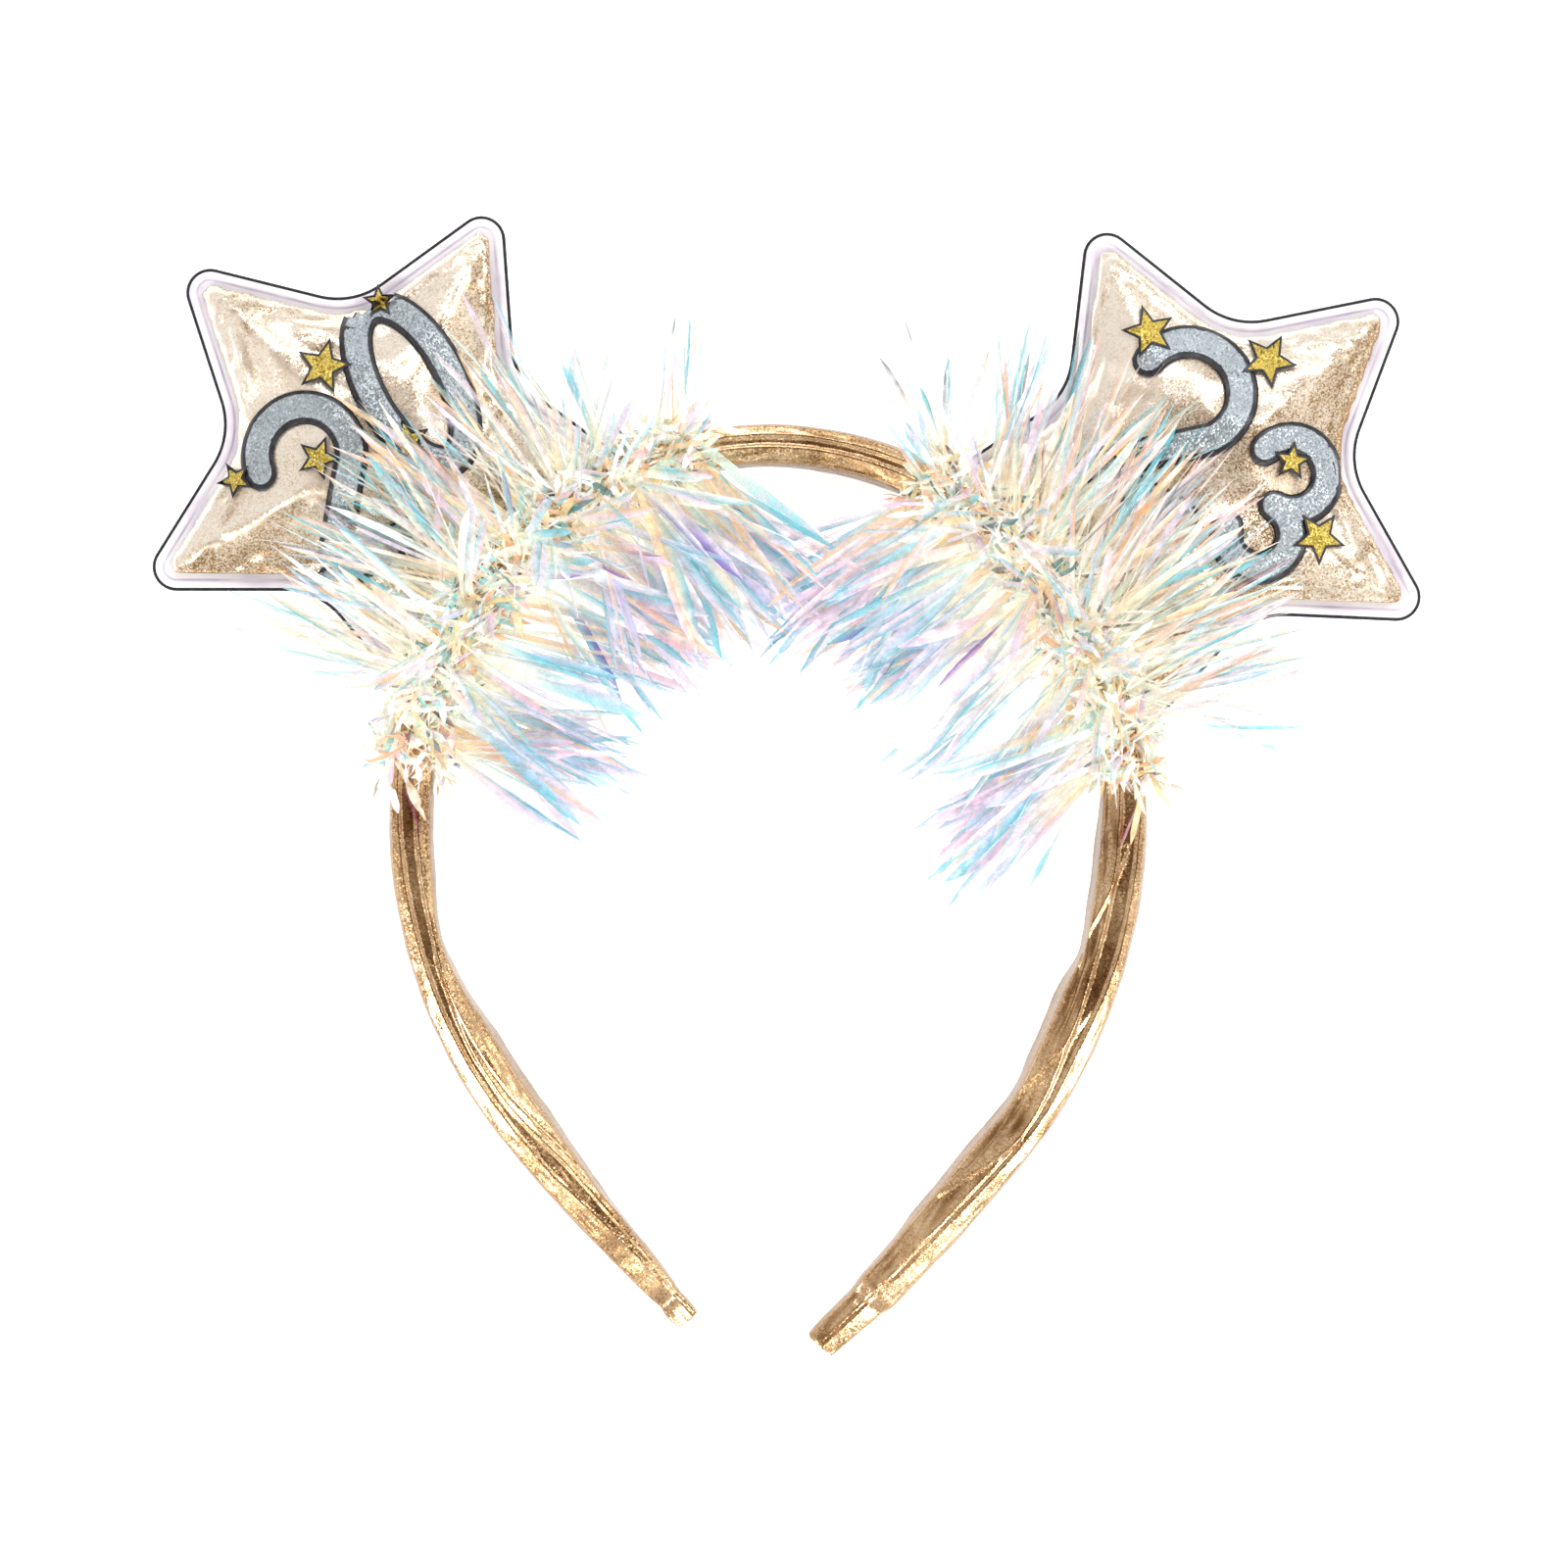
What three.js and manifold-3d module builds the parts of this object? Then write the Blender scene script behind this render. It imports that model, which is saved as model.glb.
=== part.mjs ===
// A New Year head band: a hoop covered in gold lamé cloth, two padded stars glued behind it, and a
// tinsel garland over the feet of each star. It lies on its back. X runs across the head, Y from
// the tips of the band to its arch, and Z up through the front. All lengths are millimetres.
import * as THREE from "three";
import { mergeVertices } from "three/addons/utils/BufferGeometryUtils.js";
import Module from "manifold-3d";

const wasm = await Module();
wasm.setup();

// Sizes of the hoop, measured to the middle of the band.
const hoopHalfWidth = 67.4;
const archRise = 69.6;
const legFall = { left: 83, right: 87.5 };
const legTurn = 49.5;
const legEnd = { left: 45.5, right: 46.5 };

// Sizes of the band's cover.
const bandThickness = 8.2;
const bandDepth = 14;
const bandSides = 14;
const bandStep = 6;
const sectionSquareness = 0.8;
const lipBearing = 104;

// Sizes of the stars.
const starReach = 49.2;
const starTipRadius = 0.0935 * starReach;
const starValley = 0.618 * starReach;
const starValleyRadius = 0.285 * starReach;
const starBearing = { left: 48.4, right: -50.2 };
const starLean = { left: 0, right: 2 };
const starOutset = { left: -1.4, right: 2.1 };
const flangeThickness = 1.2;
const flangeBorder = 3.2;
const padRise = 9;
const padEdge = 0.9;
const padRings = [1, 0.955, 0.84, 0.62, 0.34];
const padFall = 2.2;
const padFullness = 0.62;

// Sizes of the glitter figures on the stars.
const numeralStroke = 0.13 * starReach;
const figureThickness = 0.35;
const smallStarReach = 0.114 * starReach;
const smallStarWaist = 0.45;

// Sizes of the garlands.
const garlandWall = 2.2;
const garlandFootGap = 1;
const garlandMargin = { left: { arch: 15, leg: 11 }, right: { arch: 4, leg: 10 } };
const lockLength = 36;
const lockWidth = 5;
const lockThickness = 1;
const lockCount = 52;
const lockRest = 0.8;
const lockShortest = 0.76;
const lockStanding = 0.8;
const lockSway = 26;
const lockRoll = 70;
const lockRoots = { lowest: 52, flattest: 172 };
const golden = 0.618;

// Clearances.
const seatGap = 0.3;
const sleeveGap = 0.6;
const figureGap = 0.3;

const degrees = THREE.MathUtils.degToRad;

// The line along the middle of the band, from the left tip over the arch to the right tip.
function makeHoop() {
  const arc = (fall, from, to) =>
    new THREE.EllipseCurve(0, 0, hoopHalfWidth, fall, degrees(from), degrees(to), true);
  const bends = {
    left: arc(legFall.left, 180 + legTurn, 180),
    right: arc(legFall.right, 0, -legTurn),
  };
  const leftBend = bends.left.getPoint(0);
  const rightBend = bends.right.getPoint(1);
  const leftTip = leftBend.clone().addScaledVector(bends.left.getTangent(0), -legEnd.left);
  const rightTip = rightBend.clone().addScaledVector(bends.right.getTangent(1), legEnd.right);
  const path = new THREE.CurvePath();
  path.add(new THREE.LineCurve(leftTip, leftBend));
  path.add(bends.left);
  path.add(arc(archRise, 180, 0));
  path.add(bends.right);
  path.add(new THREE.LineCurve(rightBend, rightTip));
  return path;
}

const hoop = makeHoop();
const hoopLength = hoop.getLength();
const [leftEndLength, leftBendLength, archLength] = hoop.curves.map((curve) => curve.getLength());
const topDistance = leftEndLength + leftBendLength + archLength / 2;
const legLength = { left: topDistance, right: hoopLength - topDistance };

// Rows of the band's cover. at is the share of the way from the arch's top to a tip, negative on
// the left. outer, inner, deep and lip are shares of the band's half thickness, half depth and
// thickness: how far the cover stands out, in and front to back, and how far a loose fold stands
// in from it. fold is the bearing of the lengthwise crease, and dent its share of the half depth.
const coverRows = [
  { at: -1, outer: 0.66, inner: 0.5, deep: 0.42, lip: 0, fold: 92, dent: 0.05 },
  { at: -0.986, outer: 0.88, inner: 0.56, deep: 0.5, lip: 0, fold: 92, dent: 0.2 },
  { at: -0.968, outer: 0.78, inner: 0.62, deep: 0.46, lip: 0, fold: 96, dent: 0.3 },
  { at: -0.93, outer: 0.9, inner: 0.8, deep: 0.58, lip: 0, fold: 104, dent: 0.24 },
  { at: -0.87, outer: 0.98, inner: 0.92, deep: 0.7, lip: 0.1, fold: 104, dent: 0.2 },
  { at: -0.82, outer: 1, inner: 0.92, deep: 0.78, lip: 0.3, fold: 98, dent: 0.2 },
  { at: -0.77, outer: 0.9, inner: 0.92, deep: 0.86, lip: 0.48, fold: 98, dent: 0.2 },
  { at: -0.7, outer: 0.9, inner: 0.92, deep: 0.92, lip: 0.46, fold: 94, dent: 0.22 },
  { at: -0.655, outer: 0.94, inner: 0.88, deep: 0.95, lip: 0.2, fold: 92, dent: 0.24 },
  { at: -0.6, outer: 1, inner: 0.7, deep: 0.98, lip: 0, fold: 88, dent: 0.24 },
  { at: -0.54, outer: 1.06, inner: 1, deep: 1, lip: 0, fold: 90, dent: 0.2 },
  { at: -0.42, outer: 1.02, inner: 1, deep: 1, lip: 0, fold: 94, dent: 0.14 },
  { at: -0.08, outer: 1, inner: 1, deep: 1, lip: 0, fold: 100, dent: 0.16 },
  { at: 0.1, outer: 1, inner: 1, deep: 1, lip: 0, fold: 100, dent: 0.16 },
  { at: 0.44, outer: 1.02, inner: 1, deep: 1, lip: 0, fold: 96, dent: 0.14 },
  { at: 0.48, outer: 1.06, inner: 1.04, deep: 1, lip: 0.2, fold: 96, dent: 0.22 },
  { at: 0.55, outer: 1.06, inner: 1.04, deep: 1, lip: 0.24, fold: 98, dent: 0.26 },
  { at: 0.592, outer: 1, inner: 1, deep: 0.98, lip: 0.2, fold: 104, dent: 0.28 },
  { at: 0.625, outer: 0.98, inner: 0.98, deep: 0.96, lip: 0.5, fold: 106, dent: 0.28 },
  { at: 0.68, outer: 0.94, inner: 0.96, deep: 0.92, lip: 0.5, fold: 104, dent: 0.26 },
  { at: 0.735, outer: 0.92, inner: 0.94, deep: 0.87, lip: 0.36, fold: 102, dent: 0.24 },
  { at: 0.785, outer: 0.94, inner: 0.94, deep: 0.81, lip: 0.42, fold: 100, dent: 0.22 },
  { at: 0.85, outer: 1.12, inner: 0.9, deep: 0.72, lip: 0.28, fold: 98, dent: 0.22 },
  { at: 0.91, outer: 1.08, inner: 0.86, deep: 0.62, lip: 0.14, fold: 96, dent: 0.24 },
  { at: 0.936, outer: 1.14, inner: 0.86, deep: 0.58, lip: 0.1, fold: 92, dent: 0.3 },
  { at: 0.952, outer: 0.88, inner: 0.86, deep: 0.52, lip: 0.06, fold: 90, dent: 0.2 },
  { at: 1, outer: 0.62, inner: 0.98, deep: 0.42, lip: 0, fold: 90, dent: 0.05 },
];

// The two numerals on each star. across and up place the middle of the upper bowl from the star's
// centre, bowl is its radius and tall the whole figure, all as shares of the star's reach. lean
// is in degrees.
const numeralRows = [
  { side: "left", kind: "two", across: -0.21, up: 0.2, bowl: 0.185, tall: 0.78, lean: -15 },
  { side: "left", kind: "zero", across: 0.325, up: 0.26, bowl: 0.155, tall: 0.8, lean: -18 },
  { side: "right", kind: "two", across: -0.255, up: 0.17, bowl: 0.2, tall: 0.76, lean: 21 },
  { side: "right", kind: "three", across: 0.24, up: 0.265, bowl: 0.14, tall: 0.66, lean: 21 },
];

// The small stars of each star: places as above, sizes as shares of the small star's reach.
const smallStarRows = [
  { side: "left", across: 0.09, up: 0.38, size: 1, turn: 12 },
  { side: "left", across: -0.46, up: 0.335, size: 0.66, turn: -18 },
  { side: "left", across: 0.42, up: 0.4, size: 0.6, turn: 30 },
  { side: "left", across: 0.1, up: -0.06, size: 0.84, turn: 40 },
  { side: "left", across: -0.18, up: 0.15, size: 0.8, turn: 5 },
  { side: "right", across: -0.535, up: 0.205, size: 0.96, turn: -8 },
  { side: "right", across: -0.155, up: 0.485, size: 1, turn: 20 },
  { side: "right", across: 0.2, up: 0.3, size: 0.7, turn: -30 },
  { side: "right", across: 0.49, up: 0.19, size: 0.96, turn: 14 },
  { side: "right", across: -0.235, up: -0.175, size: 0.8, turn: 50 },
];

// Bearings from the band that the locks of film point to in turn: 0 is outwards, 90 up and 180
// inwards. Each lock opens from its root and closes to its tip.
const lockFan = [8, 180, 30, 164, 4, 192, 62, 146, 14, 172, 98, 22, 188, 44, 156, 6, 178, 124];
const lockRings = [
  { at: 0, width: 0.34 },
  { at: 0.68, width: 1 },
  { at: 1, width: 0.28 },
];

// How the locks lean along the band at the arch end and the leg end of their garland, in degrees
// towards the leg, and how far from the leg end of the garland they start, in its length.
const sweepRows = [
  { side: "left", way: "outer", archLean: -26, legLean: 6, legInset: 0.16 },
  { side: "left", way: "inner", archLean: -22, legLean: 8, legInset: 0.03 },
  { side: "right", way: "outer", archLean: -32, legLean: 6, legInset: 0.2 },
  { side: "right", way: "inner", archLean: -26, legLean: 30, legInset: 0.03 },
];

// Colours and finishes.
const materials = {
  lame: new THREE.MeshStandardMaterial({ color: 0xd9b77c, roughness: 0.35, metalness: 0.9 }),
  film: new THREE.MeshStandardMaterial({ color: 0xebe8f2, roughness: 0.35, metalness: 0 }),
  silverGlitter: new THREE.MeshStandardMaterial({ color: 0xa9b4bc, roughness: 0.5, metalness: 0.5 }),
  goldGlitter: new THREE.MeshStandardMaterial({ color: 0xb09a3c, roughness: 0.5, metalness: 0.5 }),
  tinsel: new THREE.MeshStandardMaterial({ color: 0xe9ecec, roughness: 0.2, metalness: 0.2 }),
};

// A frame on the band: its middle at a distance from the arch's top, negative on the left, with
// outward as x, up as y and the way towards the right tip as z.
function frameAt(distance, height) {
  const share = THREE.MathUtils.clamp((topDistance + distance) / hoopLength, 0, 1);
  const middle = hoop.getPoint(share);
  const along = hoop.getTangent(share);
  const outward = new THREE.Vector3(-along.y, along.x, 0);
  const up = new THREE.Vector3(0, 0, 1);
  return new THREE.Matrix4()
    .makeBasis(outward, up, new THREE.Vector3(along.x, along.y, 0))
    .setPosition(middle.x, middle.y, height);
}

// The row of the cover's table at a distance, eased between the rows on either side.
function coverAt(distance) {
  const at = distance / (distance < 0 ? legLength.left : legLength.right);
  const after = Math.max(1, coverRows.findIndex((row) => row.at >= at - 1e-9));
  const [a, b] = [coverRows[after - 1], coverRows[after]];
  const ease = THREE.MathUtils.smoothstep(at, a.at, b.at);
  const blended = {};
  for (const key of Object.keys(a)) blended[key] = THREE.MathUtils.lerp(a[key], b[key], ease);
  return { ...blended, at };
}

// The band lies on the table at its tips, and on the feet of the stars at its arch.
function bandHeight(distance) {
  const { at, deep } = coverAt(distance);
  const liftStart = 0.95;
  const liftEnd = 0.6;
  const lift = 1 - THREE.MathUtils.smoothstep(Math.abs(at), liftEnd, liftStart);
  return lift * (flangeThickness + seatGap) + (deep * bandDepth) / 2;
}

// A point on the smooth oval of the band's section, grown by a clearance.
function ovalPoint(row, bearing, grow = 0) {
  const power = (value) => Math.sign(value) * Math.abs(value) ** sectionSquareness;
  const [cos, sin] = [Math.cos(degrees(bearing)), Math.sin(degrees(bearing))];
  const reach = (cos > 0 ? row.outer : row.inner) * (bandThickness / 2) + grow;
  return new THREE.Vector2(reach * power(cos), (row.deep * (bandDepth / 2) + grow) * power(sin));
}

// The band's section: the oval with its lengthwise crease and its loose inner fold.
function coverOutline(distance) {
  const row = coverAt(distance);
  const lipSide = Math.round((bandSides * lipBearing) / 360);
  const outline = [];
  for (let side = 0; side < bandSides; side++) {
    const point = ovalPoint(row, row.fold + (side * 360) / bandSides);
    if (side === 0) point.y -= row.dent * (bandDepth / 2) * row.deep;
    if (side === lipSide || side === lipSide + 1) point.x -= row.lip * bandThickness;
    outline.push(point);
  }
  return outline;
}

// A closed solid through rings of the same number of points, each ring in its own frame.
function loft(rings) {
  const sides = rings[0].outline.length;
  const positions = rings.flatMap(({ frame, outline }) =>
    outline.flatMap((p) => new THREE.Vector3(p.x, p.y, 0).applyMatrix4(frame).toArray()),
  );
  const faces = [];
  for (let ring = 0; ring < rings.length - 1; ring++)
    for (let side = 0; side < sides; side++) {
      const [a, b] = [ring * sides + side, ring * sides + ((side + 1) % sides)];
      faces.push(a, b, b + sides, a, b + sides, a + sides);
    }
  const last = (rings.length - 1) * sides;
  for (const [a, b, c] of THREE.ShapeUtils.triangulateShape(rings[0].outline, []))
    faces.push(a, c, b);
  for (const [a, b, c] of THREE.ShapeUtils.triangulateShape(rings.at(-1).outline, []))
    faces.push(last + a, last + b, last + c);
  return geometryOf(positions, faces);
}

function geometryOf(positions, faces) {
  const geometry = new THREE.BufferGeometry();
  geometry.setAttribute("position", new THREE.Float32BufferAttribute(positions, 3));
  geometry.setIndex(faces);
  geometry.computeVertexNormals();
  return geometry;
}

// A three.js geometry as a manifold solid, and back.
function solidOf(geometry) {
  const bare = geometry.clone();
  for (const name of ["normal", "uv"]) bare.deleteAttribute(name);
  const merged = mergeVertices(bare, 1e-4);
  return new wasm.Manifold(
    new wasm.Mesh({
      numProp: 3,
      vertProperties: merged.attributes.position.array,
      triVerts: new Uint32Array(merged.index.array),
    }),
  );
}

function geometryFrom(solid) {
  const { vertProperties, triVerts } = solid.getMesh();
  return geometryOf(Array.from(vertProperties), Array.from(triVerts));
}

function named(name, geometry, material) {
  const mesh = new THREE.Mesh(geometry, material);
  mesh.name = name;
  return mesh;
}

// Distances along the band in even steps between two ends.
function steps(from, to, step) {
  const count = Math.ceil((to - from) / step);
  return Array.from({ length: count + 1 }, (_, i) => from + ((to - from) * i) / count);
}

function makeBand() {
  const tableDistances = coverRows.map(({ at }) =>
    at < 0 ? at * legLength.left : at * legLength.right,
  );
  const closest = bandStep / 3;
  const distances = [...tableDistances];
  for (const distance of steps(-legLength.left, legLength.right, bandStep))
    if (tableDistances.every((other) => Math.abs(other - distance) > closest))
      distances.push(distance);
  distances.sort((a, b) => a - b);
  const rings = distances.map((distance) => ({
    frame: frameAt(distance, bandHeight(distance)),
    outline: coverOutline(distance),
  }));
  return named("band", loft(rings), materials.lame);
}

// The distance along the band at a bearing from the middle of the hoop, in degrees left of its top.
function distanceAtBearing(bearing) {
  const bearingOf = (distance) => {
    const point = new THREE.Vector3().setFromMatrixPosition(frameAt(distance, 0));
    return THREE.MathUtils.radToDeg(Math.atan2(-point.x, point.y));
  };
  let [low, high] = [-archLength, archLength];
  for (let turn = 0; turn < 40; turn++) {
    const middle = (low + high) / 2;
    if (bearingOf(middle) > bearing) low = middle;
    else high = middle;
  }
  return low;
}

// Where a star sits: its lower points end near the middle of the band.
function starSeat(side) {
  const bearing = starBearing[side];
  const foot = new THREE.Vector3().setFromMatrixPosition(frameAt(distanceAtBearing(bearing), 0));
  const [inset, spread] = [Math.cos(degrees(36)) * starReach, Math.sin(degrees(36)) * starReach];
  const distance = inset + Math.sqrt(foot.lengthSq() - spread ** 2) + starOutset[side];
  const place = new THREE.Matrix4()
    .makeRotationZ(degrees(bearing))
    .multiply(new THREE.Matrix4().makeTranslation(0, distance, 0))
    .multiply(new THREE.Matrix4().makeRotationZ(degrees(starLean[side])));
  const feet = [144, -144].map((turn) => {
    const tip = new THREE.Vector3(0, starReach, 0);
    tip.applyMatrix4(new THREE.Matrix4().makeRotationZ(degrees(turn))).applyMatrix4(place);
    return distanceAtBearing(THREE.MathUtils.radToDeg(Math.atan2(-tip.x, tip.y)));
  });
  return { side, place, feet };
}

// The outline of a star: five round tips and five wide valleys, all moved in by an inset.
function starOutline(inset, tipSteps = 4, valleySteps = 4) {
  const tip = new THREE.Vector2(0, starReach - starTipRadius);
  const valley = new THREE.Vector2(0, starValley + starValleyRadius);
  valley.rotateAround(new THREE.Vector2(), degrees(36));
  const across = valley.clone().sub(tip);
  const lean = Math.asin((starTipRadius + starValleyRadius) / across.length());
  const normal = across.angle() - Math.PI / 2 + lean;
  const sweep = normal - Math.PI / 2;
  const points = [];
  for (let arm = 0; arm < 5; arm++) {
    const turn = degrees(72 * arm);
    const arc = (centre, radius, start, end, count) => {
      for (let i = 0; i <= count; i++) {
        const angle = turn + THREE.MathUtils.lerp(start, end, i / count);
        const middle = centre.clone().rotateAround(new THREE.Vector2(), turn);
        points.push(middle.add(new THREE.Vector2(Math.cos(angle), Math.sin(angle)).multiplyScalar(radius)));
      }
    };
    const upright = Math.PI / 2;
    const opposite = upright + degrees(36) + Math.PI;
    arc(tip, starTipRadius - inset, upright - sweep, upright + sweep, tipSteps);
    const valleySweep = opposite - (normal + Math.PI);
    arc(valley, starValleyRadius + inset, opposite - valleySweep, opposite + valleySweep, valleySteps);
  }
  return points;
}

function makeFlange(seat) {
  const outline = new THREE.Shape(starOutline(0));
  const geometry = new THREE.ExtrudeGeometry(outline, { depth: flangeThickness, bevelEnabled: false });
  return named(`${seat.side}_star_flange`, geometry, materials.film);
}

const padOutline = starOutline(flangeBorder);
const padBase = flangeThickness + seatGap;

// The share of the way from a star's centre to the edge of its pad at a point.
function padShare(point) {
  let share = 0;
  padOutline.forEach((a, i) => {
    const b = padOutline[(i + 1) % padOutline.length];
    const edge = b.clone().sub(a);
    const side = edge.cross(point);
    if (a.cross(point) >= 0 && point.cross(b) >= 0) share = side / edge.cross(a);
  });
  return share;
}

// The height of a pad's face: a pillow that is steep at its edge and has a ridge on every arm.
function padHeight(point) {
  const share = Math.min(1, padShare(point));
  return padBase + padEdge + padRise * (1 - share ** padFall) ** padFullness;
}

// The whole pad in the star's own frame, before its garland cuts it off.
function makePillow() {
  const count = padOutline.length;
  const positions = [0, 0, padBase, 0, 0, padHeight(new THREE.Vector2())];
  for (const point of padOutline) positions.push(point.x, point.y, padBase);
  for (const ring of padRings)
    for (const point of padOutline) {
      const inner = point.clone().multiplyScalar(ring);
      positions.push(inner.x, inner.y, padHeight(inner));
    }
  const faces = [];
  const inmost = 2 + padRings.length * count;
  for (let i = 0; i < count; i++) {
    const next = (i + 1) % count;
    faces.push(0, 2 + next, 2 + i);
    for (let ring = 0; ring < padRings.length; ring++) {
      const [a, b] = [2 + ring * count + i, 2 + ring * count + next];
      faces.push(a, b, b + count, a, b + count, a + count);
    }
    faces.push(inmost + i, inmost + next, 1);
  }
  return solidOf(geometryOf(positions, faces));
}

const pillow = makePillow();

// A solid in a star's own frame, cut off where the garland starts, as the star's child.
function trimmed(seat, name, solid, garlandRoom, material) {
  const placed = geometryFrom(solid).applyMatrix4(seat.place);
  const bodies = solidOf(placed).subtract(garlandRoom).decompose();
  const largest = bodies.sort((a, b) => b.volume() - a.volume())[0];
  const geometry = geometryFrom(largest).applyMatrix4(seat.place.clone().invert());
  return named(`${seat.side}_${name}`, geometry, material);
}

// A flat figure laid on the pillow's face: layer 0 lies on the cloth and layer 1 on the numerals.
function laidOnPillow(shapes, layer) {
  const low = figureGap + layer * (figureThickness + figureGap);
  const settings = { depth: padBase + 2 * padRise, bevelEnabled: false };
  const prisms = shapes.map((shape) => solidOf(new THREE.ExtrudeGeometry(shape, settings)));
  const top = pillow.translate([0, 0, low + figureThickness]);
  return wasm.Manifold.union(prisms).intersect(top).subtract(pillow.translate([0, 0, low]));
}

// The outline of a stroke of even width along a path.
function strokeShape(path) {
  const edge = (sign) =>
    path.map((point, i) => {
      const along = path[Math.min(i + 1, path.length - 1)].clone().sub(path[Math.max(i - 1, 0)]);
      const sideways = new THREE.Vector2(-along.y, along.x).setLength((sign * numeralStroke) / 2);
      return point.clone().add(sideways);
    });
  return new THREE.Shape([...edge(1), ...edge(-1).reverse()]);
}

// The strokes of a numeral about the middle of its upper bowl.
function numeralShapes(row) {
  const radius = row.bowl * starReach;
  const tall = row.tall * starReach - numeralStroke;
  const foot = radius - tall;
  const arc = (y, rx, ry, from, to, count) =>
    new THREE.EllipseCurve(0, y, rx, ry, degrees(from), degrees(to), to < from).getPoints(count);
  const corner = (x, y) => new THREE.Vector2(x, y);
  if (row.kind === "zero") {
    const middle = radius - tall / 2;
    const half = numeralStroke / 2;
    const ring = new THREE.Shape(arc(middle, radius + half, tall / 2 + half, 0, 360, 20));
    ring.holes.push(new THREE.Path(arc(middle, radius - half, tall / 2 - half, 0, 360, 16)));
    return [ring];
  }
  if (row.kind === "three") {
    const lower = (tall - 2 * radius) / 2;
    const upper = arc(0, radius, radius, 165, -90, 8);
    return [upper, arc(foot + lower, lower, lower, 90, -165, 9)].map(strokeShape);
  }
  const hook = arc(0, radius, radius, 170, -35, 8);
  const slant = new THREE.LineCurve(hook.at(-1), corner(-radius, foot)).getPoints(2).slice(1);
  const base = [corner(-radius - numeralStroke / 4, foot), corner(radius, foot)];
  return [[...hook, ...slant], base].map(strokeShape);
}

// Shapes turned by a lean and moved to a row's place on the star.
function placed(shapes, row, lean) {
  const middle = new THREE.Vector2(row.across, row.up).multiplyScalar(starReach);
  const move = (point) => point.clone().rotateAround(new THREE.Vector2(), degrees(lean)).add(middle);
  return shapes.map((shape) => {
    const moved = new THREE.Shape(shape.getPoints().map(move));
    moved.holes = shape.holes.map((hole) => new THREE.Path(hole.getPoints().map(move)));
    return moved;
  });
}

function makeNumeral(seat, row, garlandRoom) {
  const solid = laidOnPillow(placed(numeralShapes(row), row, row.lean), 0);
  return trimmed(seat, `numeral_${row.kind}`, solid, garlandRoom, materials.silverGlitter);
}

function makeSmallStar(seat, row, index, garlandRoom) {
  const rim = Array.from({ length: 10 }, (_, i) => {
    const reach = smallStarReach * row.size * (i % 2 ? smallStarWaist : 1);
    return new THREE.Vector2(0, reach).rotateAround(new THREE.Vector2(), degrees(36 * i));
  });
  const solid = laidOnPillow(placed([new THREE.Shape(rim)], row, row.turn), 1);
  return trimmed(seat, `small_star_${index}`, solid, garlandRoom, materials.goldGlitter);
}

// The stretch of the band under a garland: the feet of its star and a margin at each end.
function garlandStretch(seat) {
  const margin = garlandMargin[seat.side];
  const feet = [...seat.feet].sort((a, b) => a - b);
  const [low, high] = seat.side === "left" ? [margin.leg, margin.arch] : [margin.arch, margin.leg];
  return { from: feet[0] - low, to: feet[1] + high };
}

// The row that a garland's core follows: the cover with its loose folds, and never under full width.
function coreAt(distance) {
  const { outer, inner, deep, lip } = coverAt(distance);
  return { outer: Math.max(outer, 1), inner: Math.max(inner, 1) + 2 * lip, deep };
}

const coreGrow = sleeveGap + garlandWall;

// The room of a garland's core, which the pad and figures of its star keep out of.
function garlandRoom(seat) {
  const { from, to } = garlandStretch(seat);
  const past = 2 * bandDepth;
  const rings = steps(from - past, to + past, bandStep).map((distance) => {
    const reach = ovalPoint(coreAt(distance), 0, coreGrow + seatGap).x;
    const corners = [[-reach, -past], [reach, -past], [reach, past], [-reach, past]];
    return {
      frame: frameAt(distance, 0),
      outline: corners.map(([x, y]) => new THREE.Vector2(x, y)),
    };
  });
  return solidOf(loft(rings));
}

// The core of a garland: a saddle of twisted thread over the front and sides of the band.
function garlandCore({ from, to }) {
  const bearings = [0, 30, 60, 90, 120, 150, 180];
  const rings = steps(from, to, bandStep).map((distance, i) => {
    const height = bandHeight(distance);
    const foot = flangeThickness + garlandFootGap - height;
    const lump = i % 2 ? 0.25 : 0;
    const row = coreAt(distance);
    const inner = bearings.map((bearing) => ovalPoint(row, bearing, sleeveGap));
    const outer = bearings.map((bearing) => ovalPoint(row, bearing, coreGrow - lump));
    const ends = (line) => [
      new THREE.Vector2(line[0].x, foot),
      ...line,
      new THREE.Vector2(line.at(-1).x, foot),
    ];
    return { frame: frameAt(distance, height), outline: [...ends(outer), ...ends(inner).reverse()] };
  });
  return solidOf(loft(rings));
}

// A lock of film: a flat bar that opens from its root and closes to its tip.
function makeLock(root, tip, roll) {
  const along = tip.clone().sub(root).normalize();
  const sideways = new THREE.Vector3(0, 0, 1).cross(along).normalize().applyAxisAngle(along, roll);
  const upright = along.clone().cross(sideways);
  const rings = lockRings.map(({ at, width }) => {
    const [across, thick] = [(lockWidth * width) / 2, lockThickness / 2];
    const middle = root.clone().lerp(tip, at);
    const frame = new THREE.Matrix4().makeBasis(sideways, upright, along).setPosition(middle);
    const corners = [[-across, -thick], [across, -thick], [across, thick], [-across, thick]];
    return { frame, outline: corners.map(([x, y]) => new THREE.Vector2(x, y)) };
  });
  return solidOf(loft(rings));
}

// The way that a lock points, in the frame of the band at its root.
function lockWay(bearing, lean) {
  const [turn, tilt] = [degrees(bearing), degrees(lean)];
  return new THREE.Vector3(Math.cos(turn) * Math.cos(tilt), Math.sin(turn), Math.sin(tilt));
}

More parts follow.
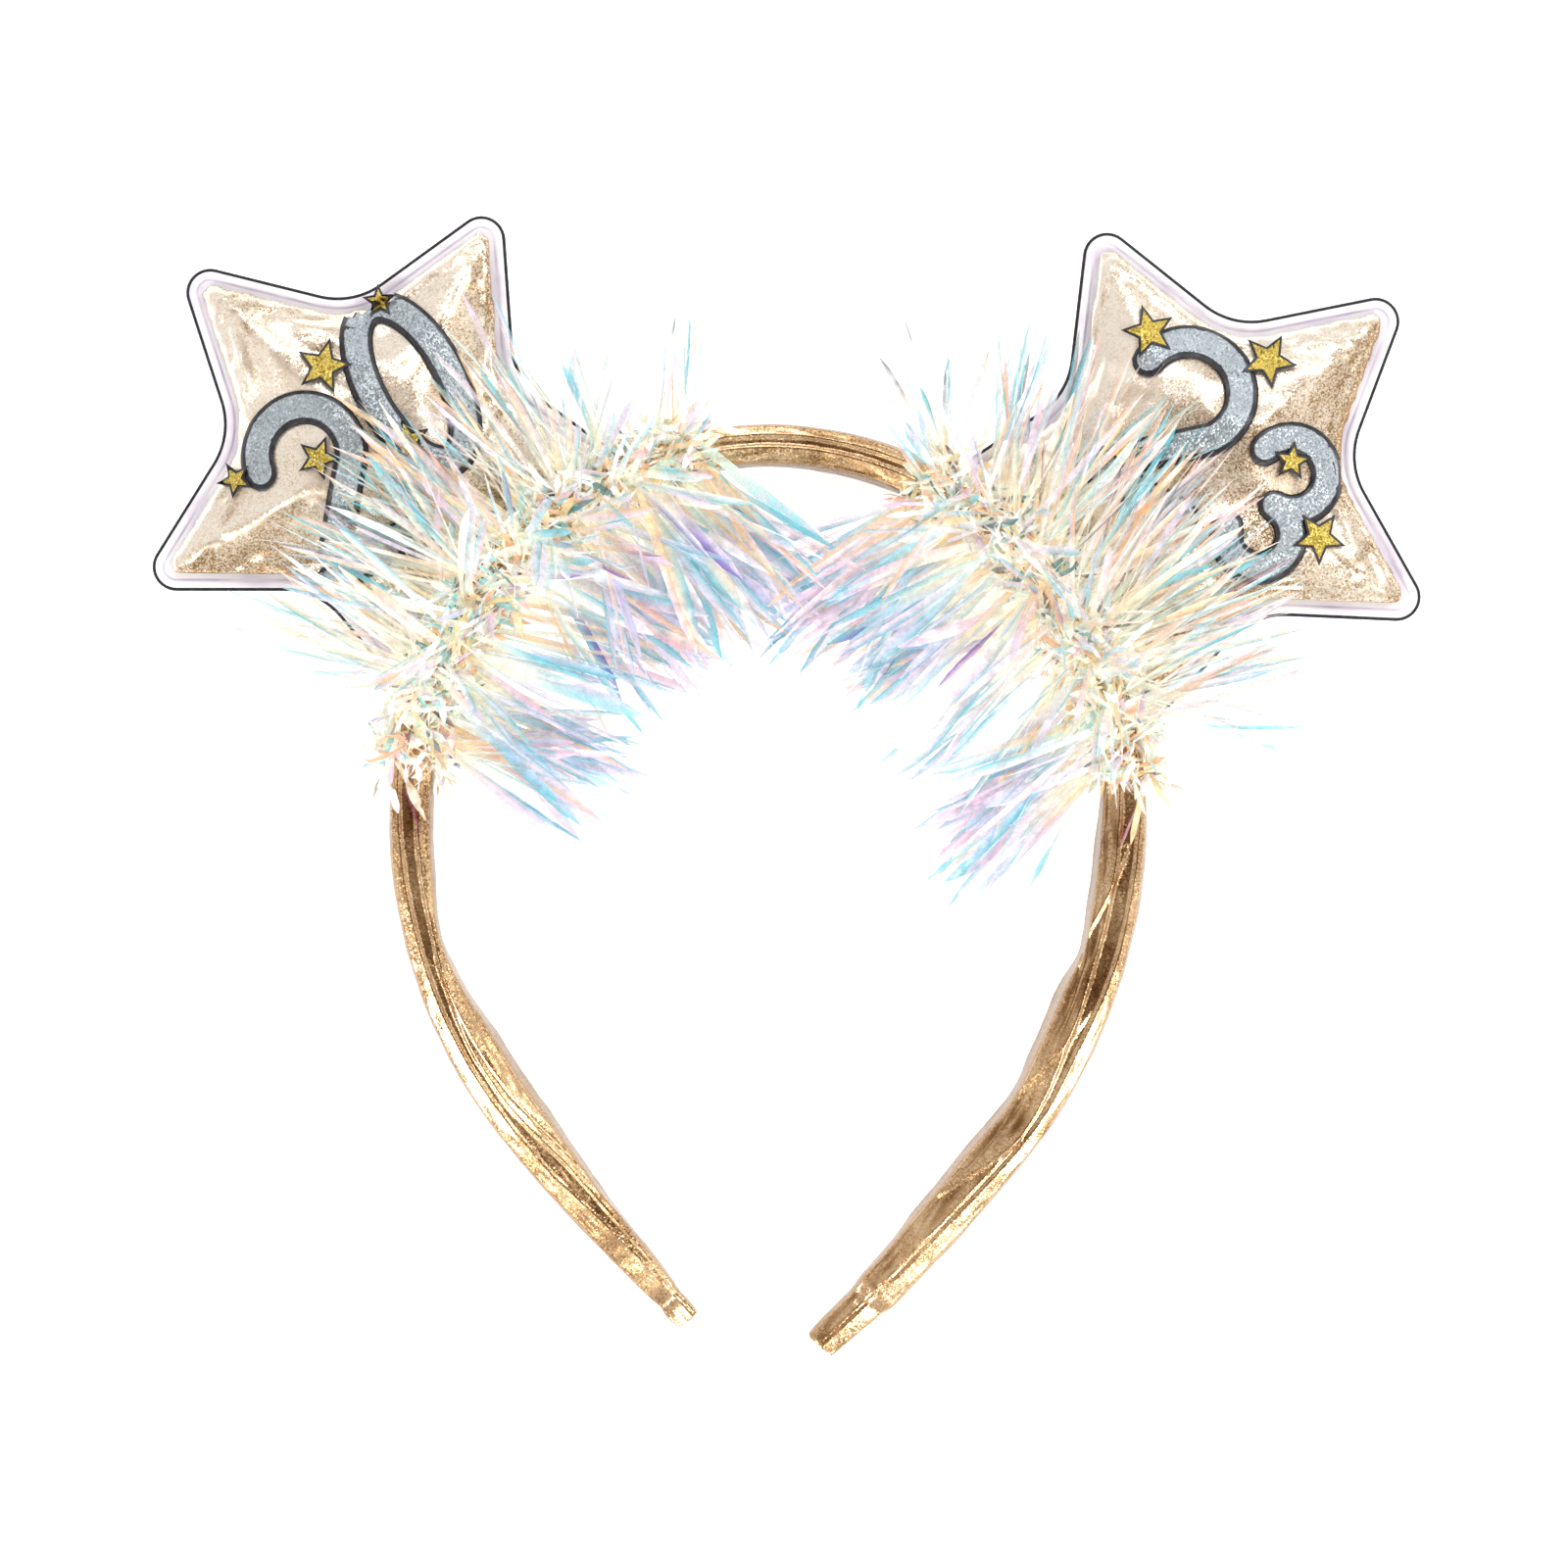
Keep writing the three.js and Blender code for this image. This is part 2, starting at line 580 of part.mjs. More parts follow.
// The locks of a garland fan out from its core, over the star on one side and into the hoop on
// the other. Their lengths, leans and rolls go through short cycles that never line up.
function garlandLocks(seat) {
  const { from, to } = garlandStretch(seat);
  const [arch, leg] = seat.side === "left" ? [to, from] : [from, to];
  const legward = Math.sign(leg - arch);
  const starTop = padBase + padEdge + padRise + 2 * (figureGap + figureThickness) + lockWidth / 2;
  return Array.from({ length: lockCount }, (_, i) => {
    const bearing = lockFan[i % lockFan.length];
    const way = bearing < 90 ? "outer" : "inner";
    const sweep = sweepRows.find((row) => row.side === seat.side && row.way === way);
    const share = (i + 0.5) / lockCount;
    const turn = (i * golden) % 1;
    const distance = THREE.MathUtils.lerp(arch, leg, share * (1 - sweep.legInset));
    const frame = frameAt(distance, bandHeight(distance));
    const lean = THREE.MathUtils.lerp(sweep.archLean, sweep.legLean, share) + lockSway * (turn - 0.5);
    const rootBearing = THREE.MathUtils.clamp(bearing, lockRoots.lowest, lockRoots.flattest);
    const root = ovalPoint(coreAt(distance), rootBearing, sleeveGap + garlandWall / 2);
    const start = new THREE.Vector3(root.x, root.y, 0).applyMatrix4(frame);
    const reach = THREE.MathUtils.lerp(lockShortest, 1, (i * golden ** 2) % 1);
    const upright = THREE.MathUtils.lerp(1, lockStanding, Math.sin(degrees(bearing)));
    const direction = lockWay(bearing, lean * legward).transformDirection(frame);
    const end = start.clone().addScaledVector(direction, lockLength * reach * upright);
    end.z = Math.max(end.z, way === "outer" ? starTop : lockRest);
    end.x = legward * Math.max(legward * end.x, lockWidth / 2 + seatGap);
    return makeLock(start, end, degrees(lockRoll * (turn - 0.5)));
  });
}

function makeGarland(seat) {
  const solid = wasm.Manifold.union([garlandCore(garlandStretch(seat)), ...garlandLocks(seat)]);
  return named(`${seat.side}_garland`, geometryFrom(solid), materials.tinsel);
}

function makeStar(seat) {
  const room = garlandRoom(seat);
  const star = new THREE.Group();
  star.applyMatrix4(seat.place);
  star.add(makeFlange(seat), trimmed(seat, "star_pad", pillow, room, materials.lame));
  for (const row of numeralRows.filter(({ side }) => side === seat.side))
    star.add(makeNumeral(seat, row, room));
  smallStarRows
    .filter(({ side }) => side === seat.side)
    .forEach((row, i) => star.add(makeSmallStar(seat, row, i + 1, room)));
  return star;
}

const headband = new THREE.Group();
headband.add(makeBand());
for (const side of ["left", "right"]) {
  const seat = starSeat(side);
  headband.add(makeStar(seat), makeGarland(seat));
}

// The origin is the middle of the whole part, on the table.
const bounds = new THREE.Box3().setFromObject(headband, true);
const middle = bounds.getCenter(new THREE.Vector3());
headband.position.set(-middle.x, -middle.y, -bounds.min.z);

export default headband;
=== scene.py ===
# %% [markdown]
# # A New Year head band
# A plastic hoop covered in gold lamé, two padded stars of lamé sealed in clear PVC with glitter
# numerals on them, and a tinsel garland of iridescent film over the feet of each star. The packed
# model gives every solid its place. Blender adds what a solid cannot show: folds in the cloth,
# thousands of thin blades of film, and the materials.

import math

import bmesh
import bpy
import numpy as np
from mathutils import Matrix, Vector, noise
from mathutils.bvhtree import BVHTree


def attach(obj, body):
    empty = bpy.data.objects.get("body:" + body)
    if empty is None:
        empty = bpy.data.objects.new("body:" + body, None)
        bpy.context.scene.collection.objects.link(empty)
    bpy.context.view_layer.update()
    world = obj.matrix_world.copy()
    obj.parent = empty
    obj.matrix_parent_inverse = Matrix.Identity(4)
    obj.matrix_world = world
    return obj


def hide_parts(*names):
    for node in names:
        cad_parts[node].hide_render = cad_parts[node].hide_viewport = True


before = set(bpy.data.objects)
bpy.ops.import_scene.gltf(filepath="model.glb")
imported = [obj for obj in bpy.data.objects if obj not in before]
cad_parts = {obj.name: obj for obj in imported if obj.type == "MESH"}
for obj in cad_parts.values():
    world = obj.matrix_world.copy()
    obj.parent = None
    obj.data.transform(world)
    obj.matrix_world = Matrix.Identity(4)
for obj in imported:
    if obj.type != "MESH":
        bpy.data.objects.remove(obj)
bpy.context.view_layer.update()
mm = 0.001

# %% [markdown]
# ## Small helpers
# Colours are written as sRGB hex values, as in a paint program, and Cycles works in linear light,
# so one function turns them. Another adds a shader node with its settings and links.

# %% Colour and node helpers
def linear(hex_colour, alpha=1.0):
    """An sRGB hex colour as linear red, green, blue and alpha."""
    parts = [int(hex_colour[i : i + 2], 16) / 255 for i in (1, 3, 5)]
    turned = [c / 12.92 if c <= 0.04045 else ((c + 0.055) / 1.055) ** 2.4 for c in parts]
    return (*turned, alpha)


def add(tree, kind, settings=None, links=None):
    """Adds a node, sets its sockets or properties, and links its inputs."""
    node = tree.nodes.new("ShaderNode" + kind)
    for name, value in (settings or {}).items():
        if isinstance(name, int) or name in node.inputs:
            node.inputs[name].default_value = value
        else:
            setattr(node, name, value)
    for name, socket in (links or {}).items():
        tree.links.new(socket, node.inputs[name])
    return node


def new_material(name, settings):
    """A material with one Principled shader, and its tree."""
    material = bpy.data.materials.new(name)
    material.use_nodes = True
    tree = material.node_tree
    shader = tree.nodes["Principled BSDF"]
    for socket, value in settings.items():
        shader.inputs[socket].default_value = value
    return material, tree, shader


def ramp(tree, factor, stops):
    """A colour ramp from (place, hex colour) stops."""
    node = add(tree, "ValToRGB", links={"Fac": factor})
    elements = node.color_ramp.elements
    while len(elements) < len(stops):
        elements.new(0.5)
    for element, (place, colour) in zip(elements, stops):
        element.position = place
        element.color = linear(colour)
    return node


# %% [markdown]
# ## The camera, the floor and the light
# The photo looks straight down on the part and is turned a little over a degree. A long lens far
# above keeps the sides of the stars out of sight, as they are in the photo.

# %% Camera
photo_turn = math.radians(1.4)
view_width = 296 * mm
camera_height = 1.5
camera_aim = Vector((0.44 * mm, 0.97 * mm, 0))
sensor_width = 36

camera_data = bpy.data.cameras.new("photo_camera")
camera_data.sensor_width = sensor_width
camera_data.lens = sensor_width * camera_height / view_width
camera_data.clip_end = 20
camera = bpy.data.objects.new("photo_camera", camera_data)
bpy.context.scene.collection.objects.link(camera)
camera.location = camera_aim + Vector((0, 0, camera_height + 10 * mm))
camera.rotation_euler = (0, 0, photo_turn)
bpy.context.scene.camera = camera
print("lens:", round(camera_data.lens), "mm")

# %% [markdown]
# The floor is matt white card, a little bright of its own, so that shadows on it stay faint.

# %% Floor
floor_half = 6.0
card, tree, shader = new_material("matt white card", {"Base Color": linear("#FAFAFA"), "Roughness": 0.9})
shader.inputs["Emission Color"].default_value = linear("#FFFFFF")
shader.inputs["Emission Strength"].default_value = 0.7
bm = bmesh.new()
bmesh.ops.create_grid(bm, x_segments=1, y_segments=1, size=floor_half)
floor_mesh = bpy.data.meshes.new("floor")
bm.to_mesh(floor_mesh)
bm.free()
floor_mesh.materials.append(card)
floor = bpy.data.objects.new("floor", floor_mesh)
bpy.context.scene.collection.objects.link(floor)
floor.location.z = -0.0004

# %% [markdown]
# Foil needs something to reflect. Small bright soft boxes stand round the table, half way up the
# sky, where the sloping sides of the band's lower ends mirror them. The sky between them is pale,
# and a brown patch right overhead gives the dark streaks of the faces that lie flat.

# %% Lights
def soft_box(name, place, aim, size, watts, colour):
    """A rectangular area light that points at a place on the table."""
    data = bpy.data.lights.new(name, "AREA")
    data.shape = "RECTANGLE"
    data.size, data.size_y = size
    data.energy = watts
    data.color = linear(colour)[:3]
    light = bpy.data.objects.new(name, data)
    light.location = place
    light.rotation_euler = (Vector(aim) - Vector(place)).to_track_quat("-Z", "Y").to_euler()
    bpy.context.scene.collection.objects.link(light)


box_size = (0.45, 0.32)
box_rows = [
    ("north_east", 46, 6.6, "#FFFFFF"),
    ("south_west", 224, 7.8, "#FFFDF8"),
    ("south_east", 136, 7.8, "#FFFDF8"),
    ("north", -8, 3.0, "#FFFFFF"),
]
box_reach = 0.95
box_height = 1.1
for name, bearing, watts, colour in box_rows:
    turn = math.radians(bearing)
    place = (box_reach * math.sin(turn), box_reach * math.cos(turn), box_height)
    soft_box(name + "_box", place, (0, 0, 0), box_size, watts, colour)

world = bpy.data.worlds.new("pale studio")
bpy.context.scene.world = world
world.use_nodes = True
sky = world.node_tree
background = sky.nodes["Background"]
direction = add(sky, "TexCoord").outputs["Generated"]
height = add(sky, "SeparateXYZ", links={"Vector": direction}).outputs["Z"]
sky_colour = ramp(sky, height, [(0.0, "#E4E0DC"), (0.78, "#F4F1EE"), (0.9, "#A89078"), (0.97, "#5E442C")])
sky.links.new(sky_colour.outputs["Color"], background.inputs["Color"])
background.inputs["Strength"].default_value = 0.95
bpy.context.scene.view_settings.view_transform = "Standard"
bpy.context.scene.cycles.transparent_max_bounces = 24

# %% [markdown]
# ## The line of the hoop
# The band, the garlands and their blades all follow one line: straight ends, two bends and the
# arch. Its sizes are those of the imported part, from the middle of the hoop.

# %% Hoop line
hoop_middle = np.array([-2.3826, -4.6555]) * mm
hoop_half_width = 67.4 * mm
arch_rise = 69.6 * mm
leg_fall = {"left": 83 * mm, "right": 87.5 * mm}
leg_turn = math.radians(49.5)
leg_end = {"left": 45.5 * mm, "right": 46.5 * mm}


def ellipse_run(fall, start, end, count=400):
    """Points on an ellipse about the middle of the hoop, between two bearings."""
    turn = np.linspace(start, end, count)
    return np.column_stack([hoop_half_width * np.cos(turn), fall * np.sin(turn)])


def make_hoop_line():
    """The line of the hoop as even points, and each point's distance from the arch's top."""
    left = ellipse_run(leg_fall["left"], math.pi + leg_turn, math.pi)
    arch = ellipse_run(arch_rise, math.pi, 0)
    right = ellipse_run(leg_fall["right"], 0, -leg_turn)
    left_way = (left[0] - left[1]) / np.linalg.norm(left[0] - left[1])
    right_way = (right[-1] - right[-2]) / np.linalg.norm(right[-1] - right[-2])
    tips = [left[0] + left_way * leg_end["left"], right[-1] + right_way * leg_end["right"]]
    ends = [np.linspace(tips[0], left[0], 200)[:-1], np.linspace(right[-1], tips[1], 200)[1:]]
    line = np.vstack([ends[0], left, arch[1:], right[1:], ends[1]]) + hoop_middle
    gone = np.concatenate([[0], np.cumsum(np.linalg.norm(np.diff(line, axis=0), axis=1))])
    top = gone[np.argmax(line[:, 1])]
    return line, gone - top


hoop_line, hoop_gone = make_hoop_line()


def hoop_at(distance):
    """Points on the hoop and the outward and onward ways there, at distances from the arch's top."""
    distance = np.asarray(distance, float)
    reach = 0.5 * mm
    spots = [
        np.column_stack([np.interp(distance + step, hoop_gone, hoop_line[:, i]) for i in (0, 1)])
        for step in (-reach, 0, reach)
    ]
    onward = spots[2] - spots[0]
    onward /= np.linalg.norm(onward, axis=1)[:, None]
    outward = np.column_stack([-onward[:, 1], onward[:, 0]])
    return spots[1], outward, onward


print("hoop:", round((hoop_gone[-1] - hoop_gone[0]) / mm), "mm long")

# %% [markdown]
# ## Making an object
# Every finished piece is a mesh whose object sits at the origin, with its place in the mesh.

# %% Object helpers
def put(name, mesh, materials, smooth=True):
    """An object for a mesh, on the root body, with its materials."""
    mesh.name = name
    for material in materials:
        mesh.materials.append(material)
    mesh.polygons.foreach_set("use_smooth", [smooth] * len(mesh.polygons))
    piece = bpy.data.objects.new(name, mesh)
    bpy.context.scene.collection.objects.link(piece)
    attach(piece, "root")
    return piece


def merged(node):
    """A bmesh with a CAD node's shape, its loose triangles joined along their edges."""
    bm = bmesh.new()
    bm.from_mesh(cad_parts[node].data)
    bmesh.ops.remove_doubles(bm, verts=bm.verts, dist=0.001 * mm)
    return bm


def finished(bm):
    """The mesh of a bmesh, which is then freed."""
    mesh = bpy.data.meshes.new("piece")
    bm.to_mesh(mesh)
    bm.free()
    return mesh


def subdivided(mesh, levels, kind="CATMULL_CLARK"):
    """A mesh with a Subdivision Surface worked into it."""
    holder = bpy.data.objects.new("holder", mesh)
    bpy.context.scene.collection.objects.link(holder)
    modifier = holder.modifiers.new("finer", "SUBSURF")
    modifier.subdivision_type = kind
    modifier.levels = modifier.render_levels = levels
    done = bpy.data.meshes.new_from_object(holder.evaluated_get(bpy.context.evaluated_depsgraph_get()))
    bpy.data.objects.remove(holder)
    done.materials.clear()
    return done


def points_of(mesh):
    """A mesh's vertices as an array."""
    points = np.empty(len(mesh.vertices) * 3)
    mesh.vertices.foreach_get("co", points)
    return points.reshape(-1, 3)


def normals_of(mesh):
    """A mesh's vertex normals as an array."""
    normals = np.empty(len(mesh.vertices) * 3)
    mesh.vertex_normals.foreach_get("vector", normals)
    return normals.reshape(-1, 3)


def move_to(mesh, points):
    mesh.vertices.foreach_set("co", points.ravel())
    mesh.update()

# %% [markdown]
# ## Gold lamé
# Lamé is a knit with a thin metal foil pressed on it. The foil breaks up over the stitches, so
# the cloth glints in grains of about a third of a millimetre, and goes from white where it
# mirrors a light to brown where it mirrors the dark. Each grain gets a small tilt of its own.

# %% Lamé material
def grain_tilt(tree, vector, grain, strength, normal=None):
    """A normal that leans a random way in each grain of the foil. grain is its size in metres."""
    cells = add(tree, "TexVoronoi", {"Scale": 1 / grain}, {"Vector": vector})
    lean = add(tree, "VectorMath", {"operation": "SUBTRACT", 1: (0.5, 0.5, 0.5)}, {0: cells.outputs["Color"]})
    scaled = add(tree, "VectorMath", {"operation": "SCALE", "Scale": strength}, {0: lean.outputs[0]})
    base = normal or add(tree, "NewGeometry").outputs["Normal"]
    leaned = add(tree, "VectorMath", {"operation": "ADD"}, {0: base, 1: scaled.outputs[0]})
    return add(tree, "VectorMath", {"operation": "NORMALIZE"}, {0: leaned.outputs[0]}).outputs[0]


def lame(name, shadow, middle, light, side, coat, tilt, shade, settings):
    """Foil on a knit, tinted by wear and by grains, with painted shade on top: side is a colour of painted
    shade laid on faces that tilt far from level, where the coat ends, and shade is how far painted shade darkens
    slopes that face the bottom right."""
    material, tree, shader = new_material(name, settings)
    place = add(tree, "TexCoord").outputs["Object"]
    wear = add(tree, "TexNoise", {"Scale": 60.0, "Detail": 6.0, "Roughness": 0.65}, {"Vector": place})
    speck = add(tree, "TexVoronoi", {"Scale": 1 / foil_grain}, {"Vector": place})
    speck_value = add(tree, "SeparateColor", links={"Color": speck.outputs["Color"]}).outputs["Red"]
    mixed = add(tree, "Math", {"operation": "MULTIPLY_ADD", 1: 0.5}, {0: speck_value, 2: wear.outputs["Fac"]})
    # Painted shade: slopes that face the bottom right are pushed towards the dark end of the tint, and slopes that
    # face the top left towards the pale end.
    painted_shade_facing = add(tree, "VectorMath", {"operation": "DOT_PRODUCT", 1: (-0.8, 0.55, 0.0)},
                 {0: add(tree, "NewGeometry").outputs["Normal"]})
    turned = add(tree, "Math", {"operation": "MULTIPLY_ADD", 1: shade}, {0: painted_shade_facing.outputs["Value"], 2: mixed.outputs[0]})
    tint = ramp(tree, turned.outputs[0], [(0.4, shadow), (0.66, middle), (0.95, light)])
    upward = add(tree, "SeparateXYZ", links={"Vector": add(tree, "NewGeometry").outputs["Normal"]}).outputs["Z"]
    # Painted shade: faces that tilt far from level take the side colour, multiplied into the tint.
    painted_steep_shade = ramp(tree, upward, [(0.35, side), (0.7, "#FFFFFF")])
    sided = add(tree, "Mix", {"data_type": "RGBA", "blend_type": "MULTIPLY", 0: 1.0},
                {6: tint.outputs["Color"], 7: painted_steep_shade.outputs["Color"]})
    tree.links.new(sided.outputs[2], shader.inputs["Base Color"])
    glaze = add(tree, "MapRange", {"From Min": 0.6, "From Max": 0.9, "To Max": coat}, {"Value": upward})
    tree.links.new(glaze.outputs[0], shader.inputs["Coat Weight"])
    crumple = add(tree, "TexNoise", {"Scale": 700.0, "Detail": 4.0, "Roughness": 0.7}, {"Vector": place})
    bump = add(tree, "Bump", {"Strength": 0.2, "Distance": 0.12 * mm}, {"Height": crumple.outputs["Fac"]})
    tilted = grain_tilt(tree, place, foil_grain, tilt, bump.outputs["Normal"])
    tree.links.new(tilted, shader.inputs["Normal"])
    rough = add(tree, "MapRange", {"From Min": 0.3, "From Max": 0.7, "To Min": 0.2, "To Max": 0.34},
                {"Value": wear.outputs["Fac"]})
    tree.links.new(rough.outputs[0], shader.inputs["Roughness"])
    return material


foil_grain = 0.26 * mm
# The band gets painted shade on its sides from the grey side colour #A8A098, and none by slope.
band_lame = lame(
    "gold lame knit", "#8A6236", "#C2996A", "#E0C299", "#A8A098", 0.55, 0.18, 0.0,
    {"Metallic": 1.0, "Coat IOR": 1.9, "Coat Roughness": 0.14},
)
# The cushions get painted shade, 0.45, on slopes that face the bottom right; their white side colour paints nothing.
star_lame = lame(
    "champagne lame under clear PVC", "#8E6A3C", "#D6C5AC", "#EFE6DA", "#FFFFFF", 0.5, 0.16, 0.45,
    {"Metallic": 0.6, "Coat Roughness": 0.16},
)

# %% [markdown]
# ## The band
# The cover is a tube of lamé pulled over a plastic hoop. It is wider than the hoop, so it lies in
# two long rolls with a crease between them, and stands off the legs in a loose inner fold. The
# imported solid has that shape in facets. A copy of it is smoothed, and then its vertices are moved
# in and out along the crease, the rolls and many small slanting wrinkles.

# %% The cover's own map: how far along the hoop and how far round it each vertex is
def on_hoop(points):
    """Each point's distance along the hoop and its bearing round it, 0 outwards and 90 up."""
    nearest = np.empty(len(points))
    for start in range(0, len(points), 4000):
        part = points[start : start + 4000, None, :2]
        nearest[start : start + 4000] = hoop_gone[np.argmin(((part - hoop_line[None]) ** 2).sum(2), axis=1)]
    spot, outward, _ = hoop_at(nearest)
    across = ((points[:, :2] - spot) * outward).sum(1)
    low, high = points[:, 2].min(), points[:, 2].max()
    middle = np.full(len(points), (low + high) / 2)
    return nearest, across, points[:, 2] - middle


def ripple(points, scale, seed):
    """Smooth noise from -1 to 1 at each point. scale is the size of a lump in metres."""
    offset = Vector((seed * 13.7, seed * 7.1, seed * 3.3))
    return np.array([noise.noise(Vector(p) / scale + offset) for p in points])


# %% [markdown]
# The crease's place, the width of its flat floor and the slope of the sides change along the band,
# so short tables hold them, a row for each place. Distances run from the arch's top in millimetres,
# negative on the left. The lower ends are drawn out flat and slope like a roof.

# %% Crease and slopes
crease_rows = [
    # distance, crease across, half floor, floor depth, outer slope, inner slope
    (-222, -1.2, 0.2, 0.2, 0.36, 0.36),
    (-205, -1.5, 0.6, 0.3, 0.38, 0.38),
    (-184, -0.9, 1.4, 0.4, 0.38, 0.4),
    (-168, -0.6, 0.7, 0.5, 0.38, 0.4),
    (-155, -0.3, 0.7, 0.6, 0.36, 0.38),
    (-130, -0.3, 1.3, 0.6, 0.3, 0.34),
    (-100, 0.8, 1.5, 0.6, 0.3, 0.34),
    (-40, 0.3, 0.8, 0.5, 0.38, 0.32),
    (0, 0.6, 0.8, 0.6, 0.38, 0.3),
    (60, 0.4, 0.8, 0.5, 0.38, 0.32),
    (98, 0.9, 1.5, 0.6, 0.3, 0.34),
    (134, -0.1, 1.7, 0.6, 0.32, 0.22),
    (152, -0.5, 0.9, 0.6, 0.34, 0.26),
    (166, 0.4, 0.4, 0.5, 0.38, 0.28),
    (206, 0.5, 0.3, 0.4, 0.38, 0.28),
    (227, -0.8, 0.2, 0.2, 0.36, 0.3),
]
crease_edge = 0.45 * mm


def eased(values):
    """Shares from 0 to 1 with a soft start and end."""
    t = np.clip(values, 0, 1)
    return t * t * (3 - 2 * t)


def roof(distance, across):
    """How far the cover's face lies below its ridges."""
    table = np.array(crease_rows)
    where, half, depth, outer, inner = (
        np.interp(distance / mm, table[:, 0], table[:, column]) for column in range(1, 6)
    )
    off = across / mm - where
    past = np.abs(off) - half
    floor = depth * eased(0.5 - past / (2 * crease_edge / mm))
    slope = np.where(off > 0, outer, inner)
    return (floor + slope * np.maximum(past, 0)) * mm


def cover_line(distance, values, step=3 * mm):
    """The greatest of some values in each step along the band, as a smooth line."""
    bins = np.floor((distance - distance.min()) / step).astype(int)
    greatest = np.full(bins.max() + 1, -1.0)
    np.maximum.at(greatest, bins, values)
    padded = np.pad(greatest, 1, mode="edge")
    smooth = (padded[:-2] + padded[1:-1] * 2 + padded[2:]) / 4
    middles = distance.min() + (np.arange(len(smooth)) + 0.5) * step
    return np.interp(distance, middles, smooth)


rounded_from = 0.8


def shaped(points, normals, distance, across):
    """The heights of the face when its middle follows the roof and its rims stay round."""
    top = cover_line(distance, points[:, 2])
    half = np.where(across > 0, cover_line(distance, across), cover_line(distance, -across))
    rim = eased((np.abs(across) / half - rounded_from) / (1 - rounded_from))
    high = eased((points[:, 2] / top - 0.4) / 0.15) * eased((normals[:, 2] + 0.3) / 0.3)
    upper = np.maximum(eased((normals[:, 2] - 0.1) / 0.3), high)
    target = top - roof(distance, across) + folds(distance, across)
    return points[:, 2] + (target - points[:, 2]) * upper * (1 - rim)


# %% Fold lines: ridges that cross the inner panels, and the pinches at the tips
fold_rows = [
    # distance and across at the start, distance and across at the end, rise, width
    (112.7, 0.4, 133.4, -5.6, 0.5, 1.1),
    (143.9, 0.2, 168.0, -6.4, 0.3, 1.2),
    (171.0, 0.5, 190.0, -4.0, 0.45, 0.8),
    (-138.0, -1.4, -188.0, -4.8, 0.45, 1.1),
]
pinch_rows = [(-216.5, 1.6, 0.5), (214.5, 1.6, 0.2)]


def folds(distance, across):
    """How far ridges raise the face. A ridge is sharp on its top and fades at its ends."""
    rise = np.zeros(len(distance))
    d, a = distance / mm, across / mm
    for start, start_across, end, end_across, height, width in fold_rows:
        share = np.clip((d - start) / (end - start), -0.2, 1.2)
        line = start_across + (end_across - start_across) * share
        strength = eased((share + 0.1) / 0.2) * eased((1.1 - share) / 0.2)
        off = a - line
        side = np.where(off > 0, np.exp(-((off / (width * 0.4)) ** 2)), np.exp(-((off / (width * 2)) ** 2)))
        rise += height * side * strength
    return rise * mm


def pinch(distance):
    """How far the tips are drawn in, as a share of their width."""
    drawn = np.zeros(len(distance))
    for place, width, depth in pinch_rows:
        drawn += depth * 0.28 * np.exp(-(((distance / mm - place) / width) ** 2))
    return drawn


# %% Make the band
band_levels = 3
bm = merged("band")
quad_angle = math.radians(60)
bmesh.ops.join_triangles(bm, faces=bm.faces, angle_face_threshold=quad_angle, angle_shape_threshold=quad_angle)
band_mesh = subdivided(finished(bm), band_levels)
points, normals = points_of(band_mesh), normals_of(band_mesh)
distance, across, height = on_hoop(points)
points[:, 2] = shaped(points, normals, distance, across)
stretched = np.column_stack([distance, across * 2.2, height * 2.2])
wrinkles = ripple(stretched, 9 * mm, 1) * 0.16 + ripple(stretched, 3 * mm, 2) * 0.07
slant = np.column_stack([distance * 0.5 + across * 1.4, across * 2 - distance * 0.35, height * 2])
wrinkles += (1 - np.abs(ripple(slant, 5 * mm, 3)) * 2) * 0.09
points += normals * (wrinkles * mm)[:, None]
drawn = pinch(distance)
_, outward, _ = hoop_at(distance)
points[:, :2] -= outward * (across * drawn)[:, None]
points[:, 2] *= 1 - drawn
points[:, 2] = np.maximum(points[:, 2], 0.02 * mm)
move_to(band_mesh, points)
band = put("band_cover", band_mesh, [band_lame])
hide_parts("band")
print("band:", len(band_mesh.polygons), "faces, drawn in by", round(drawn.max(), 2), "at most")

# %% [markdown]
# ## The welded films
# Each star is two sheets of PVC welded round the edge with the padding between them. The weld
# makes a stiff pale rim, and its cut edge is black.

# %% Film material and rims
rim_film, tree, shader = new_material(
    "pale welded PVC", {"Roughness": 0.18, "Coat Weight": 0.6, "Coat Roughness": 0.08}
)
place = add(tree, "TexCoord").outputs["Object"]
cloud = add(tree, "TexNoise", {"Scale": 90.0, "Detail": 3.0}, {"Vector": place})
tint = ramp(tree, cloud.outputs["Fac"], [(0.35, "#DCD7E8"), (0.5, "#EEECF5"), (0.68, "#FAF9FC")])
tree.links.new(tint.outputs["Color"], shader.inputs["Base Color"])
wave = add(tree, "Bump", {"Strength": 0.3, "Distance": 0.2 * mm}, {"Height": cloud.outputs["Fac"]})
tree.links.new(wave.outputs["Normal"], shader.inputs["Normal"])

black_edge, tree, shader = new_material("black ink", {"Base Color": linear("#15151C"), "Roughness": 0.4})
place = add(tree, "TexCoord").outputs["Object"]
grain = add(tree, "TexNoise", {"Scale": 900.0, "Detail": 3.0}, {"Vector": place})
tint = ramp(tree, grain.outputs["Fac"], [(0.35, "#0E0E14"), (0.65, "#2A2A33")])
tree.links.new(tint.outputs["Color"], shader.inputs["Base Color"])

